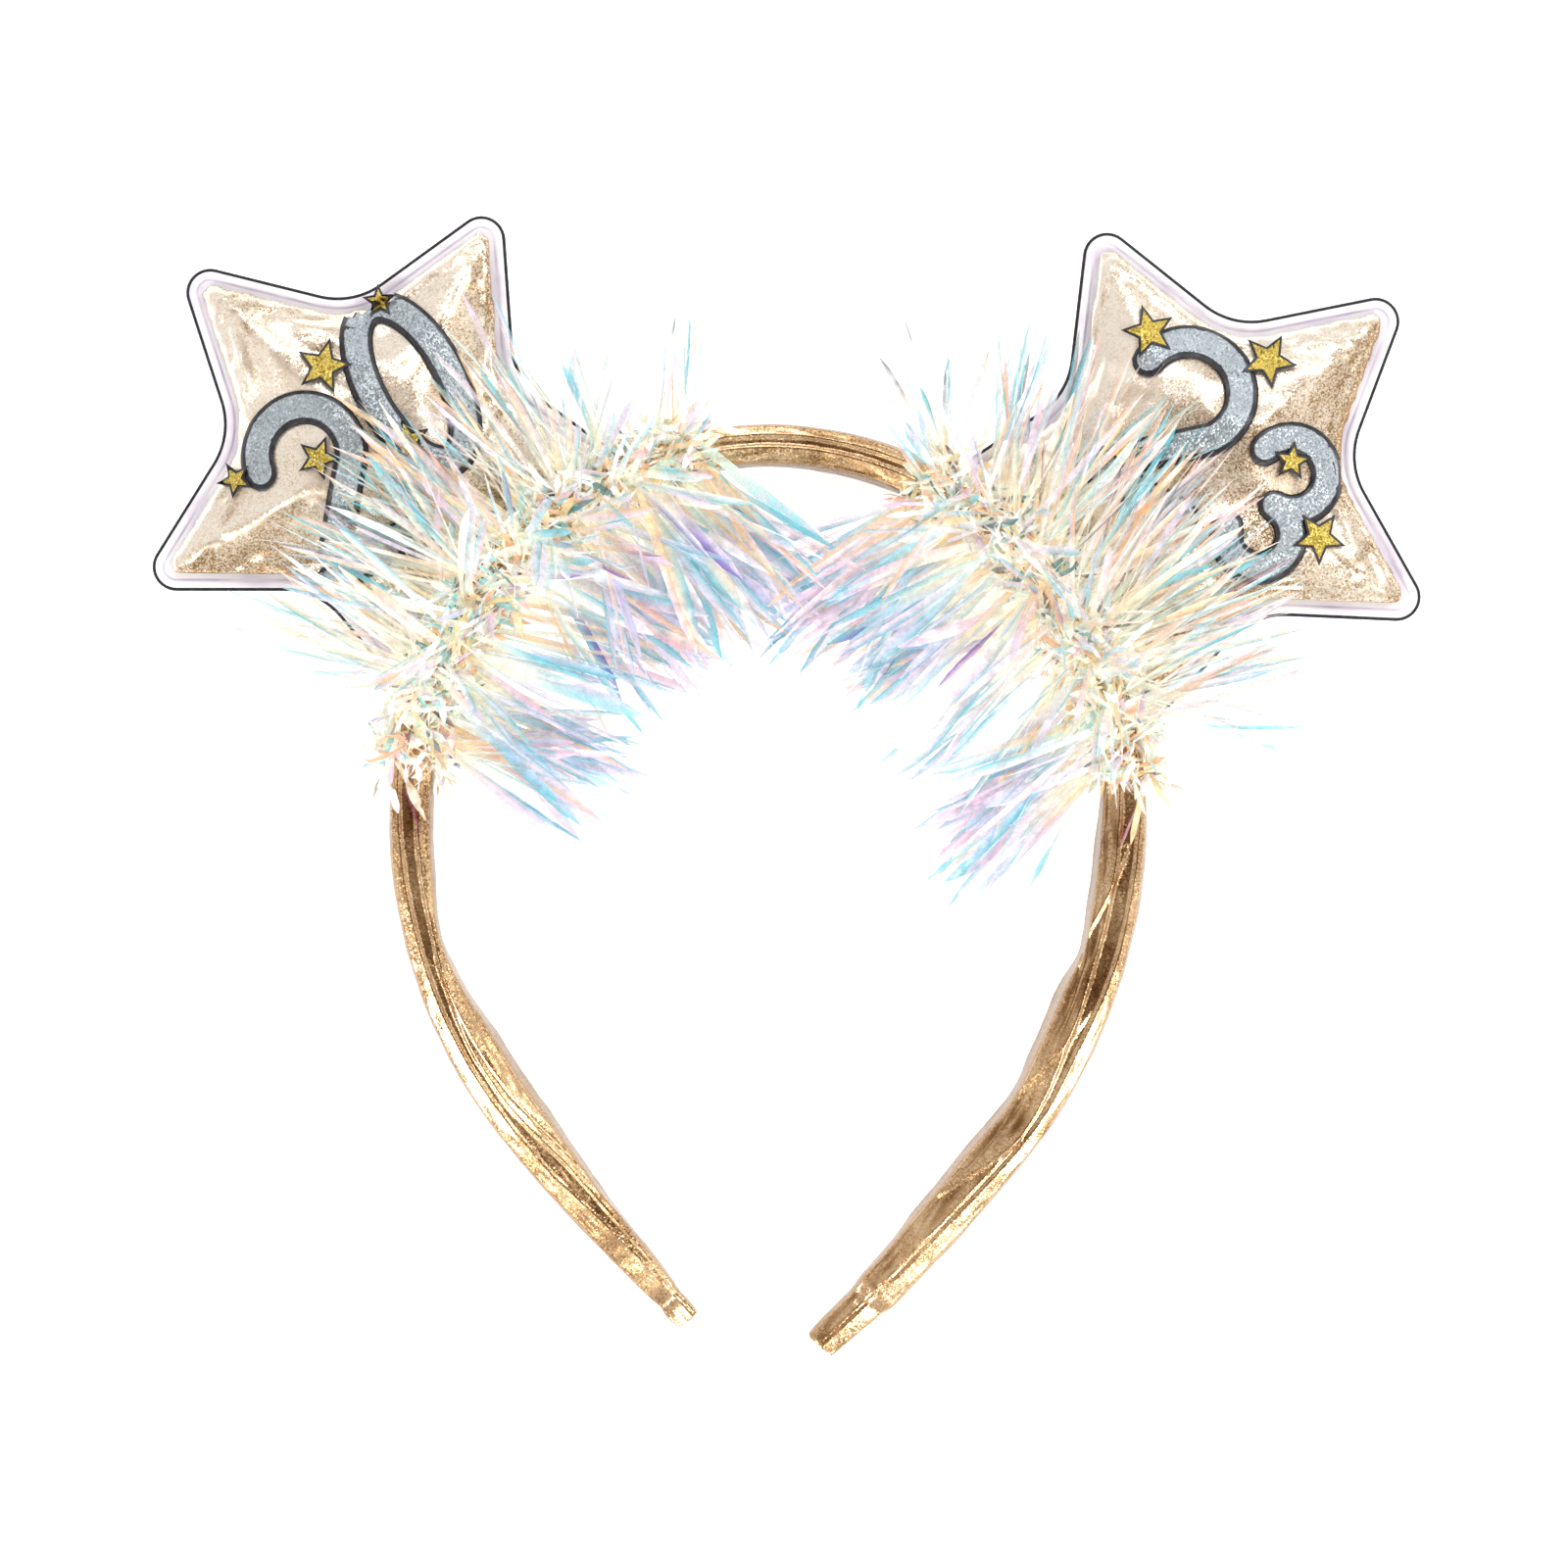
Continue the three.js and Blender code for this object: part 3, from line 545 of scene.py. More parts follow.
# Painted shade: a darker lavender strip on the rim just inside the weld, towards the cushion.
painted_shade_line, tree, shader = new_material("lavender painted shade line", {"Roughness": 0.3})
place = add(tree, "TexCoord").outputs["Object"]
cloud = add(tree, "TexNoise", {"Scale": 120.0, "Detail": 3.0}, {"Vector": place})
tint = ramp(tree, cloud.outputs["Fac"], [(0.35, "#B4ACC8"), (0.65, "#DCD8E8")])
tree.links.new(tint.outputs["Color"], shader.inputs["Base Color"])


# %% The outline of a star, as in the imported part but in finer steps
star_reach = 49.2 * mm
star_tip_radius = 0.0935 * star_reach
star_valley = 0.618 * star_reach
star_valley_radius = 0.285 * star_reach
star_top = 11 * mm
star_middle = {"left": Vector((-77.407, 61.955)) * mm, "right": Vector((77.329, 61.758)) * mm}
star_turn = {"left": math.radians(48.4), "right": math.radians(-48.2)}
outline_steps = 14


def star_place(side):
    """From the star's own frame, with its middle at the origin, to the part's frame."""
    place = Matrix.Translation(star_middle[side].to_3d())
    return place @ Matrix.Rotation(star_turn[side], 4, "Z")


def star_outline(inset):
    """Five round tips and five wide valleys, all moved in by an inset."""
    tip = complex(0, star_reach - star_tip_radius)
    valley = complex(0, star_valley + star_valley_radius) * np.exp(1j * math.radians(36))
    between = valley - tip
    lean = math.asin((star_tip_radius + star_valley_radius) / abs(between))
    normal = np.angle(between) % (2 * math.pi) - math.pi / 2 + lean
    sweep = normal - math.pi / 2
    opposite = math.radians(270 + 36)
    valley_sweep = opposite - (normal + math.pi)
    share = np.linspace(-1, 1, outline_steps)
    points = []
    for arm in range(5):
        turn = math.radians(72 * arm)
        tip_angles = turn + math.pi / 2 + sweep * share
        valley_angles = turn + opposite + valley_sweep * share
        points.append(tip * np.exp(1j * turn) + (star_tip_radius - inset) * np.exp(1j * tip_angles))
        points.append(valley * np.exp(1j * turn) + (star_valley_radius + inset) * np.exp(1j * valley_angles))
    outline = np.concatenate(points)
    return np.column_stack([outline.real, outline.imag])


# %% Make the rims
# Rings of a rim from the outside in: inset, height and the material of the strip up to the next.
rim_rows = [
    (0.0, 0.0, 1),
    (0.0, 1.0, 1),
    (0.14, 1.2, 1),
    (0.62, 1.22, 0),
    (0.95, 1.4, 0),
    (1.5, 1.42, 0),
    # slot 2 is the lavender line of painted shade
    (1.9, 1.24, 2),
    (2.35, 1.22, 0),
    (3.4, 1.25, 0),
]


def make_rim(side):
    """A flat plate with a black cut edge, a raised weld and, just inside it, a faint lavender line of painted shade.
    """
    place = star_place(side)
    bm = bmesh.new()
    rings = []
    for inset, height, _ in rim_rows:
        rings.append([bm.verts.new(place @ Vector((x, y, height * mm))) for x, y in star_outline(inset * mm)])
    count = len(rings[0])
    for (outer, inner), (_, _, slot) in zip(zip(rings, rings[1:]), rim_rows):
        for i in range(count):
            j = (i + 1) % count
            bm.faces.new((outer[i], outer[j], inner[j], inner[i])).material_index = slot
    bm.faces.new(rings[-1])
    bm.faces.new(rings[0][::-1])
    bmesh.ops.recalc_face_normals(bm, faces=bm.faces)
    mesh = finished(bm)
    piece = put(f"{side}_star_rim", mesh, [rim_film, black_edge, painted_shade_line], smooth=False)
    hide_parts(f"{side}_star_flange")
    print(piece.name, len(mesh.polygons), "faces")
    return piece


rims = {side: make_rim(side) for side in ("left", "right")}

# %% [markdown]
# ## The padded stars
# The padding fills each star like a small cushion, so its face rises from the weld to a crown and
# runs out along the arms in ridges. A cloth simulation with some air pressure rounds the facets
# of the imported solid, and the cloth, which is a little too big, gathers by itself in the notches.

# %% Blow up the stars
pad_voxel = 1.3 * mm
pad_pressure = 3.0
pad_frames = 16
pad_spare = 0.03
pad_reach = 0.9 * mm
pad_swell = 0.4 * mm


def blown(mesh, base):
    """A pad's mesh after a short cloth simulation that its back and cut sides hold still."""
    holder = bpy.data.objects.new("holder", mesh)
    bpy.context.scene.collection.objects.link(holder)
    remesh = holder.modifiers.new("even", "REMESH")
    remesh.mode = "VOXEL"
    remesh.voxel_size = pad_voxel
    even = bpy.data.meshes.new_from_object(holder.evaluated_get(bpy.context.evaluated_depsgraph_get()))
    bpy.data.objects.remove(holder)
    holder = bpy.data.objects.new("holder", even)
    bpy.context.scene.collection.objects.link(holder)
    start, normals = points_of(even), normals_of(even)
    held = holder.vertex_groups.new(name="held")
    fixed = (start[:, 2] < base + 1.2 * mm) | (normals[:, 2] < 0.25)
    held.add([int(i) for i in np.nonzero(fixed)[0]], 1.0, "REPLACE")
    cloth = holder.modifiers.new("cloth", "CLOTH")
    cloth.settings.vertex_group_mass = "held"
    cloth.settings.use_pressure = True
    cloth.settings.uniform_pressure_force = pad_pressure
    cloth.settings.shrink_min = -pad_spare
    cloth.settings.effector_weights.gravity = 0
    cloth.settings.quality = 6
    cloth.point_cache.frame_start = 1
    cloth.point_cache.frame_end = pad_frames
    for number in range(1, pad_frames + 1):
        bpy.context.scene.frame_set(number)
    done = bpy.data.meshes.new_from_object(holder.evaluated_get(bpy.context.evaluated_depsgraph_get()))
    bpy.data.objects.remove(holder)
    bpy.context.scene.frame_set(1)
    moved = points_of(done) - start
    far = np.linalg.norm(moved, axis=1)
    capped = moved * np.minimum(1, pad_reach / np.maximum(far, 1e-9))[:, None]
    capped[:, :2] *= 0.5
    move_to(done, start + capped)
    print("the cloth moved", round(far.mean() / mm, 2), "mm on average,", round(far.max() / mm, 2), "at most")
    return done


def make_pad(side):
    bm = merged(f"{side}_star_pad")
    base = min(v.co.z for v in bm.verts)
    mesh = subdivided(blown(finished(bm), base), 1)
    points, normals = points_of(mesh), normals_of(mesh)
    dents = ripple(points, 12 * mm, 4) * 0.16 + ripple(points, 3.5 * mm, 5) * 0.03
    upward = np.clip(normals[:, 2], 0, 1)
    points[:, 2] += dents * mm * upward
    points[:, :2] += normals[:, :2] * (pad_swell * (1 - upward))[:, None]
    move_to(mesh, points)
    piece = put(f"{side}_star_cushion", mesh, [star_lame])
    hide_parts(f"{side}_star_pad")
    print(piece.name, len(mesh.polygons), "faces")
    return piece


pads = {side: make_pad(side) for side in ("left", "right")}

# %% [markdown]
# ## The numerals
# The numerals are silver glitter glued on the film, each inside a black line. A stroke is drawn
# as a curve with a round bevel and round ends, turned into a mesh, and then pressed flat onto the
# cushion under it. The black line is a wider, lower stroke under the silver one.

# %% Figure helpers
def surface_of(*pieces):
    """A function that gives the height of the top face of some pieces at a point, or None."""
    trees = []
    for piece in pieces:
        trees.append(BVHTree.FromPolygons(
            [v.co for v in piece.data.vertices], [p.vertices for p in piece.data.polygons]
        ))
    above, down = 0.2, Vector((0, 0, -1))

    def height_at(x, y, nearest=False):
        hits = [tree.ray_cast(Vector((x, y, above)), down)[0] for tree in trees]
        heights = [hit.z for hit in hits if hit is not None]
        if not heights and nearest:
            return trees[0].find_nearest(Vector((x, y, star_top)))[0].z
        return max(heights) if heights else None

    return height_at


pad_height = {side: surface_of(pads[side]) for side in pads}


# %% Strokes
def drawn_stroke(path, radius, closed=False):
    """A round stroke along a flat path, as a mesh. Open paths get round ends."""
    path = [Vector(p) for p in path]
    radii = [radius] * len(path)
    if not closed:
        for end, inner in ((0, 1), (-1, -2)):
            way = (path[end] - path[inner]).normalized()
            tip = path[end].copy()
            for angle in (35, 60, 78, 89):
                place = tip + way * radius * math.sin(math.radians(angle))
                shrunk = radius * math.cos(math.radians(angle))
                if end == 0:
                    path.insert(0, place)
                    radii.insert(0, shrunk)
                else:
                    path.append(place)
                    radii.append(shrunk)
    curve = bpy.data.curves.new("stroke", "CURVE")
    curve.dimensions = "3D"
    curve.twist_mode = "Z_UP"
    curve.bevel_depth = 1.0
    curve.bevel_resolution = 4
    curve.use_fill_caps = not closed
    spline = curve.splines.new("POLY")
    spline.points.add(len(path) - 1)
    for point, place, size in zip(spline.points, path, radii):
        point.co = (place.x, place.y, 0, 1)
        point.radius = size
    spline.use_cyclic_u = closed
    holder = bpy.data.objects.new("holder", curve)
    bpy.context.scene.collection.objects.link(holder)
    mesh = bpy.data.meshes.new_from_object(holder.evaluated_get(bpy.context.evaluated_depsgraph_get()))
    bpy.data.objects.remove(holder)
    return mesh


def pressed(meshes_and_slots, place, height_at, radius):
    """Round strokes pressed flat onto a surface, as one mesh. Each has its slot, lift and half height."""
    bm = bmesh.new()
    for mesh, slot, lift, half in meshes_and_slots:
        old_verts, old_faces = set(bm.verts), set(bm.faces)
        bm.from_mesh(mesh)
        for face in set(bm.faces) - old_faces:
            face.material_index = slot
        lost = []
        for vert in set(bm.verts) - old_verts:
            level = max(-1.0, min(1.0, vert.co.z / radius))
            flat = math.copysign(1 - (1 - abs(level)) ** 2, level)
            spot = place @ Vector((vert.co.x, vert.co.y, 0))
            under = height_at(spot.x, spot.y)
            if under is None:
                lost.append(vert)
                under = 0
            vert.co = Vector((spot.x, spot.y, under + lift + half * flat))
        bmesh.ops.delete(bm, geom=lost, context="VERTS")
    bmesh.ops.holes_fill(bm, edges=[e for e in bm.edges if e.is_boundary], sides=0)
    bmesh.ops.recalc_face_normals(bm, faces=bm.faces)
    return finished(bm)


def arc(middle, rx, ry, start, end, count=28):
    """Points on an arc, with its bearings in degrees."""
    turns = [math.radians(start + (end - start) * i / count) for i in range(count + 1)]
    return [Vector((middle[0] + rx * math.cos(t), middle[1] + ry * math.sin(t))) for t in turns]


# %% Glitter materials
def glitter(name, dark, middle, light, flake):
    """Glitter: flakes that each lean their own way, so that some flash and some are dark."""
    material, tree, shader = new_material(name, {"Metallic": 0.55, "Roughness": 0.38})
    place = add(tree, "TexCoord").outputs["Object"]
    flakes = add(tree, "TexVoronoi", {"Scale": 1 / flake}, {"Vector": place})
    value = add(tree, "SeparateColor", links={"Color": flakes.outputs["Color"]}).outputs["Green"]
    tint = ramp(tree, value, [(0.0, dark), (0.45, middle), (1.0, light)])
    tree.links.new(tint.outputs["Color"], shader.inputs["Base Color"])
    tree.links.new(grain_tilt(tree, place, flake, 0.5), shader.inputs["Normal"])
    return material


silver_glitter = glitter("silver glitter film", "#808A92", "#9CA6AE", "#BCC5CB", 0.3 * mm)
gold_glitter = glitter("gold glitter film", "#8A7426", "#B49C3E", "#DCC970", 0.3 * mm)

# %% Draw the numerals
numeral_rows = {
    "left": [("two", -0.21, 0.2, 0.185, 0.78, -15), ("zero", 0.325, 0.26, 0.155, 0.8, -18)],
    "right": [("two", -0.255, 0.17, 0.2, 0.76, 21), ("three", 0.24, 0.265, 0.14, 0.66, 21)],
}
stroke_half = 0.065 * star_reach
outline_width = 0.9 * mm
figure_shift = 0.26 * mm


def numeral_paths(kind, bowl, tall):
    """The strokes of a numeral about the middle of its upper bowl: (path, closed)."""
    radius = bowl * star_reach
    run = tall * star_reach - 2 * stroke_half
    foot = radius - run
    if kind == "zero":
        return [(arc((0, radius - run / 2), radius, run / 2, 0, 352, 44), True)]
    if kind == "three":
        lower = (run - 2 * radius) / 2
        return [
            (arc((0, 0), radius, radius, 165, -90), False),
            (arc((0, foot + lower), lower, lower, 90, -165), False),
        ]
    hook = arc((0, 0), radius, radius, 170, -35)
    corner = Vector((-radius, foot))
    slant = [hook[-1].lerp(corner, i / 6) for i in range(1, 7)]
    base = [corner.lerp(Vector((radius, foot)), i / 8) for i in range(9)]
    return [(hook + slant, False), (base, False)]


def make_numeral(side, kind, across, up, bowl, tall, lean):
    place = star_place(side) @ Matrix.Translation(Vector((across, up, 0)) * star_reach)
    place = place @ Matrix.Rotation(math.radians(lean), 4, "Z")
    shift = (place.to_3x3().inverted() @ Vector((0, figure_shift, 0))).to_2d()
    layers = []
    for path, closed in numeral_paths(kind, bowl, tall):
        layers.append((drawn_stroke(path, stroke_half, closed), 0, 0.48 * mm, 0.16 * mm))
        silver = [point + shift for point in path]
        inner = stroke_half - outline_width
        layers.append((drawn_stroke(silver, inner, closed), 1, 0.62 * mm, 0.14 * mm))
    mesh = pressed(layers, place, pad_height[side], stroke_half)
    piece = put(f"{side}_figure_{kind}", mesh, [black_edge, silver_glitter])
    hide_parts(f"{side}_numeral_{kind}")
    return piece


figures = [make_numeral(side, *row) for side, rows in numeral_rows.items() for row in rows]
print("numerals:", [(piece.name, len(piece.data.polygons)) for piece in figures])

# %% [markdown]
# ## The small stars
# Little gold glitter stars lie on and beside the numerals, each with a black edge too.

# %% Make the small stars
small_reach = 0.114 * star_reach
small_waist = 0.45
small_rows = {
    "left": [(0.09, 0.38, 1, 12), (-0.46, 0.335, 0.66, -18), (0.42, 0.4, 0.6, 30),
             (0.1, -0.06, 0.84, 40), (-0.18, 0.15, 0.8, 5)],
    "right": [(-0.535, 0.205, 0.96, -8), (-0.155, 0.485, 1, 20), (0.2, 0.3, 0.7, -30),
              (0.49, 0.19, 0.96, 14), (-0.235, -0.175, 0.8, 50)],
}


def star_plate(bm, reach, low, high, slot):
    """A five-pointed plate in the star's own frame, with its top edge rounded."""
    old_faces = set(bm.faces)
    ring = bmesh.ops.create_circle(bm, cap_ends=True, segments=10, radius=reach)["verts"]
    for vert in ring:
        turn = math.atan2(vert.co.y, vert.co.x)
        if round((turn - math.pi / 2) / math.radians(36)) % 2:
            vert.co *= small_waist
    face = next(iter(set(bm.faces) - old_faces))
    top = bmesh.ops.extrude_face_region(bm, geom=[face])["geom"]
    for vert in (item for item in top if isinstance(item, bmesh.types.BMVert)):
        vert.co.z = high
    for vert in ring:
        vert.co.z = low
    lid = next(item for item in top if isinstance(item, bmesh.types.BMFace))
    bmesh.ops.bevel(bm, geom=list(lid.edges), offset=0.12 * mm, segments=2, profile=0.5,
                    affect="EDGES", material=-1)
    for part in set(bm.faces) - old_faces:
        part.material_index = slot


def make_small_star(side, number, across, up, size, turn):
    bm = bmesh.new()
    reach = small_reach * size
    star_plate(bm, reach, 0.95 * mm, 1.2 * mm, 0)
    star_plate(bm, reach - outline_width * 1.25, 1.16 * mm, 1.34 * mm, 1)
    bmesh.ops.triangulate(bm, faces=bm.faces)
    bmesh.ops.subdivide_edges(bm, edges=bm.edges, cuts=1, use_grid_fill=True)
    place = star_place(side) @ Matrix.Translation(Vector((across, up, 0)) * star_reach)
    place = place @ Matrix.Rotation(math.radians(turn), 4, "Z")
    for vert in bm.verts:
        spot = place @ Vector((vert.co.x, vert.co.y, 0))
        vert.co = Vector((spot.x, spot.y, pad_height[side](spot.x, spot.y, True) + vert.co.z))
    bmesh.ops.recalc_face_normals(bm, faces=bm.faces)
    piece = put(f"{side}_glitter_star_{number}", finished(bm), [black_edge, gold_glitter], smooth=False)
    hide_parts(f"{side}_small_star_{number}")
    return piece


small_stars = [
    make_small_star(side, number + 1, *row)
    for side, rows in small_rows.items()
    for number, row in enumerate(rows)
]
print("small stars:", len(small_stars))

# %% [markdown]
# ## Iridescent film
# The tinsel is clear polyester film with coatings thinner than light waves. It sends back cream,
# teal, lavender or pink by the angle, and lets the rest through. Every blade carries its own
# colours in an attribute, one for each edge and one for its fold.

# %% Film material
tinsel_film, tree, shader = new_material(
    "iridescent polyester film",
    {"Roughness": 0.2, "IOR": 1.6, "Coat Weight": 0.5, "Coat Roughness": 0.05, "Emission Strength": 0.26},
)
hue = add(tree, "Attribute", {"attribute_name": "film_hue"})
place = add(tree, "TexCoord").outputs["Object"]
streak = add(tree, "TexNoise", {"Scale": 400.0, "Detail": 3.0}, {"Vector": place})
fade = ramp(tree, streak.outputs["Fac"], [(0.3, "#D8D8DC"), (0.6, "#FFFFFF")])
tinted = add(tree, "Mix", {"data_type": "RGBA", "blend_type": "MULTIPLY", 0: 1.0},
             {6: hue.outputs["Color"], 7: fade.outputs["Color"]})
tree.links.new(tinted.outputs[2], shader.inputs["Base Color"])
# Painted light: the blade's own hues also feed the emission, strength 0.26, so the film glows a little.
tree.links.new(hue.outputs["Color"], shader.inputs["Emission Color"])
see = add(tree, "MapRange", {"From Min": 0.35, "From Max": 0.65, "To Min": 0.5, "To Max": 1.0},
          {"Value": streak.outputs["Fac"]})
seen = add(tree, "Math", {"operation": "MULTIPLY"}, {0: see.outputs[0], 1: hue.outputs["Alpha"]})
tree.links.new(seen.outputs[0], shader.inputs["Alpha"])

# %% [markdown]
# ## The garlands
# A garland is a thread with blades of film twisted into it. The blades are far too many to make
# one by one, so arrays hold them all: a root and a tip for each, a bend, a twist and a width. Each
# blade is a long thin three-sided bar, so it has a fold along its back.

# %% Strips of film from arrays
rng = np.random.default_rng(2023)


def unit(vectors):
    return vectors / np.maximum(np.linalg.norm(vectors, axis=-1, keepdims=True), 1e-12)


def strip_points(roots, tips, bends, rings):
    """Points along every strip: a straight run with a bend that is greatest halfway."""
    t = np.linspace(0, 1, rings)[None, :, None]
    return roots[:, None] + (tips - roots)[:, None] * t + bends[:, None] * (4 * t * (1 - t))


def strip_mesh(middles, widths, twists, hues):
    """One mesh of three-sided strips. hues has a colour at every ring for two edges and a fold."""
    count, rings = middles.shape[:2]
    along = unit(np.gradient(middles, axis=1))
    aside = unit(np.cross(along, unit(rng.normal(size=(count, 1, 3)))))
    over = np.cross(along, aside)
    t = np.linspace(0, 1, rings)[None, :, None]
    turn = twists[:, None, None] * t + rng.uniform(0, 2 * math.pi, (count, 1, 1))
    flat = aside * np.cos(turn) + over * np.sin(turn)
    back = np.cross(along, flat)
    shape = 0.5 + 0.5 * np.sin(math.pi * np.clip(t * 0.72, 0, 1))
    shape = shape * np.where(t > 0.97, 0.12, 1)
    half = widths[:, None, None] * shape / 2
    points = np.stack([middles - flat * half, middles + flat * half, middles + back * half * 0.2], axis=2)
    points[..., 2] = np.maximum(points[..., 2], 0.02 * mm)
    index = np.arange(count * rings * 3).reshape(count, rings, 3)
    here, there = index[:, :-1], index[:, 1:]
    quads = [
        np.stack([here[..., a], here[..., b], there[..., b], there[..., a]], axis=-1).reshape(-1, 4)
        for a, b in ((0, 1), (1, 2), (2, 0))
    ]
    faces = np.vstack(quads).tolist()
    faces += index[:, 0, ::-1].tolist() + index[:, -1].tolist()
    mesh = bpy.data.meshes.new("strips")
    mesh.from_pydata(points.reshape(-1, 3), [], faces)
    attribute = mesh.attributes.new("film_hue", "FLOAT_COLOR", "POINT")
    attribute.data.foreach_set("color", hues.reshape(-1, 4).astype(np.float32).ravel())
    bm = bmesh.new()
    bm.from_mesh(mesh)
    bmesh.ops.recalc_face_normals(bm, faces=bm.faces)
    bm.to_mesh(mesh)
    bm.free()
    return mesh


# %% Colours of the film
cream_hues = [(0.5, "#FBF3DC"), (0.2, "#FFFFFF"), (0.14, "#F3DDB4"), (0.08, "#DDEFE2"), (0.08, "#F4CFA6")]
# Over the star a few blades are dark grey, #565C68: painted shade, dark lines of shadow among the blades.
star_tip_hues = [
    (0.24, "#FBF3DC"), (0.14, "#F3D2A8"), (0.12, "#EDB78C"), (0.18, "#86CCD6"), (0.14, "#E4D8E8"),
    (0.08, "#FFFFFF"), (0.05, "#565C68"), (0.05, "#8A6848"),
]
hoop_tip_hues = [
    (0.34, "#E6D9EA"), (0.2, "#EED3E0"), (0.12, "#FBF6EA"), (0.16, "#9AD6E0"), (0.1, "#C6D4EE"),
    (0.03, "#6A58B0"), (0.05, "#F2DCC0"),
]
edge_hues = [(0.4, "#58B9C8"), (0.2, "#FFFFFF"), (0.18, "#D9CDE2"), (0.12, "#E6BCCB"), (0.1, "#EFBE82")]


def drawn_hues(table, count):
    """Colours drawn from a table of shares and hues."""
    shares = np.array([share for share, _ in table])
    colours = np.array([linear(colour) for _, colour in table])
    return colours[rng.choice(len(colours), count, p=shares / shares.sum())]


def blade_hues(rings, over_star, solidity):
    """Cream at the root and other hues to the tip, with one edge in a hue of its own."""
    count = len(over_star)
    t = np.linspace(0, 1, rings)[None, :, None]
    root, star_tip, hoop_tip, edge = (
        drawn_hues(table, count)[:, None] for table in (cream_hues, star_tip_hues, hoop_tip_hues, edge_hues)
    )
    tip = np.where(over_star[:, None, None], star_tip, hoop_tip)
    change = np.clip((t - rng.uniform(0.05, 0.6, (count, 1, 1))) / 0.3, 0, 1)
    body = root + (tip - root) * change
    rim = body + (edge - body) * np.clip(t * 1.6, 0, 1)
    hues = np.stack([body, rim, body * 0.65 + rim * 0.35], axis=2)
    hues[..., 3] = solidity[:, None, None]
    return hues


# %% Where the blades start and end
garland_run = {"left": (-12.7 * mm, -99.7 * mm), "right": (28.2 * mm, 100.2 * mm)}
lock_count = 125
lock_blades = 6
blade_length = (25 * mm, 42 * mm)
blade_rings = 8
# For each kind of lock, over the star, into the hoop and upright: its share of them all, its
# bearings round the band, and the widths and solidities of its blades.
lock_kinds = [
    (0.42, (4, 52), (0.6 * mm, 1.5 * mm), (0.35, 0.9)),
    (0.43, (138, 186), (1.2 * mm, 3.0 * mm), (0.55, 0.95)),
    (0.15, (55, 135), (0.8 * mm, 1.8 * mm), (0.5, 0.9)),
]
sweeps = {
    "left": {"outer": (-16, 6), "inner": (-22, 8)},
    "right": {"outer": (-34, 6), "inner": (-26, 30)},
}


def band_height_at(distance):
    """The height of the middle of the band, which lies lower towards its tips."""
    share = np.clip((np.abs(distance) / mm - 120) / 90, 0, 1)
    return (8.5 - 4 * share) * mm


def lock_ways(side):
    """Where each lock of blades leaves the band, and its bearing, lean and kind."""
    share = (np.arange(lock_count) + rng.uniform(0, 1, lock_count)) / lock_count
    chances = [chance for chance, _, _, _ in lock_kinds]
    kind = rng.choice(len(lock_kinds), lock_count, p=chances)
    kind = np.where((share < 0.3) & (kind == 0) & (rng.uniform(0, 1, lock_count) < 0.5), 1, kind)
    bearing = np.choose(kind, [rng.uniform(*ends, lock_count) for _, ends, _, _ in lock_kinds])
    outer = bearing < 90
    leans = {name: np.interp(share, [0, 1], ends) for name, ends in sweeps[side].items()}
    lean = np.where(outer, leans["outer"], leans["inner"]) + rng.normal(0, 12, lock_count)
    return np.where(outer, share * 0.86, share * 0.97), bearing, lean, kind


def blade_ends(side):
    """Blades that fan out in locks, over the star and into the hoop: ends, length, kind."""
    start, end = garland_run[side]
    legward = np.sign(end - start)
    share, bearing, lean, kind = (np.repeat(row, lock_blades) for row in lock_ways(side))
    count = len(share)
    share = np.clip(share + rng.normal(0, 0.012, count), 0, 1)
    bearing = bearing + rng.normal(0, 5, count)
    lean = lean + rng.normal(0, 4.5, count)
    distance = start + (end - start) * share
    spot, outward, onward = hoop_at(distance)
    turn, tilt = np.radians(bearing), np.radians(lean * legward)
    root_turn = np.radians(np.clip(bearing + rng.normal(0, 25, count), 20, 165))
    across, up = 5.2 * mm * np.cos(root_turn), 8.4 * mm * np.sin(root_turn)
    roots = np.column_stack([spot + outward * across[:, None], band_height_at(distance) + up])
    flat = outward * (np.cos(turn) * np.cos(tilt))[:, None] + onward * np.sin(tilt)[:, None]
    way = unit(np.column_stack([flat, np.sin(turn) * np.cos(tilt) * 0.8]))
    length = rng.uniform(*blade_length, count) * np.where(kind == 2, 0.75, 1)
    sparse = (kind != 1) * eased((0.3 - share) / 0.3)
    few = rng.uniform(0, 1, count) < 0.12
    length *= np.where(few, 1, 1 - 0.45 * sparse)
    tips = roots + way * length[:, None]
    tips[:, 2] -= 0.12 * length
    return roots, tips, kind


# %% The knotted core: short cut ends of film that lie every way over the band
bit_count = 1500
bit_length = (3 * mm, 9 * mm)
bit_width = (0.7 * mm, 1.6 * mm)
bit_rings = 5
bit_hues = [
    (0.34, "#FBF6E4"), (0.16, "#FFFFFF"), (0.12, "#E2ECD8"), (0.12, "#EBD296"), (0.08, "#EDB98A"),
    (0.07, "#9CD2D2"), (0.05, "#E2C6D6"), (0.04, "#4F7F7C"), (0.02, "#6E4A34"),
]


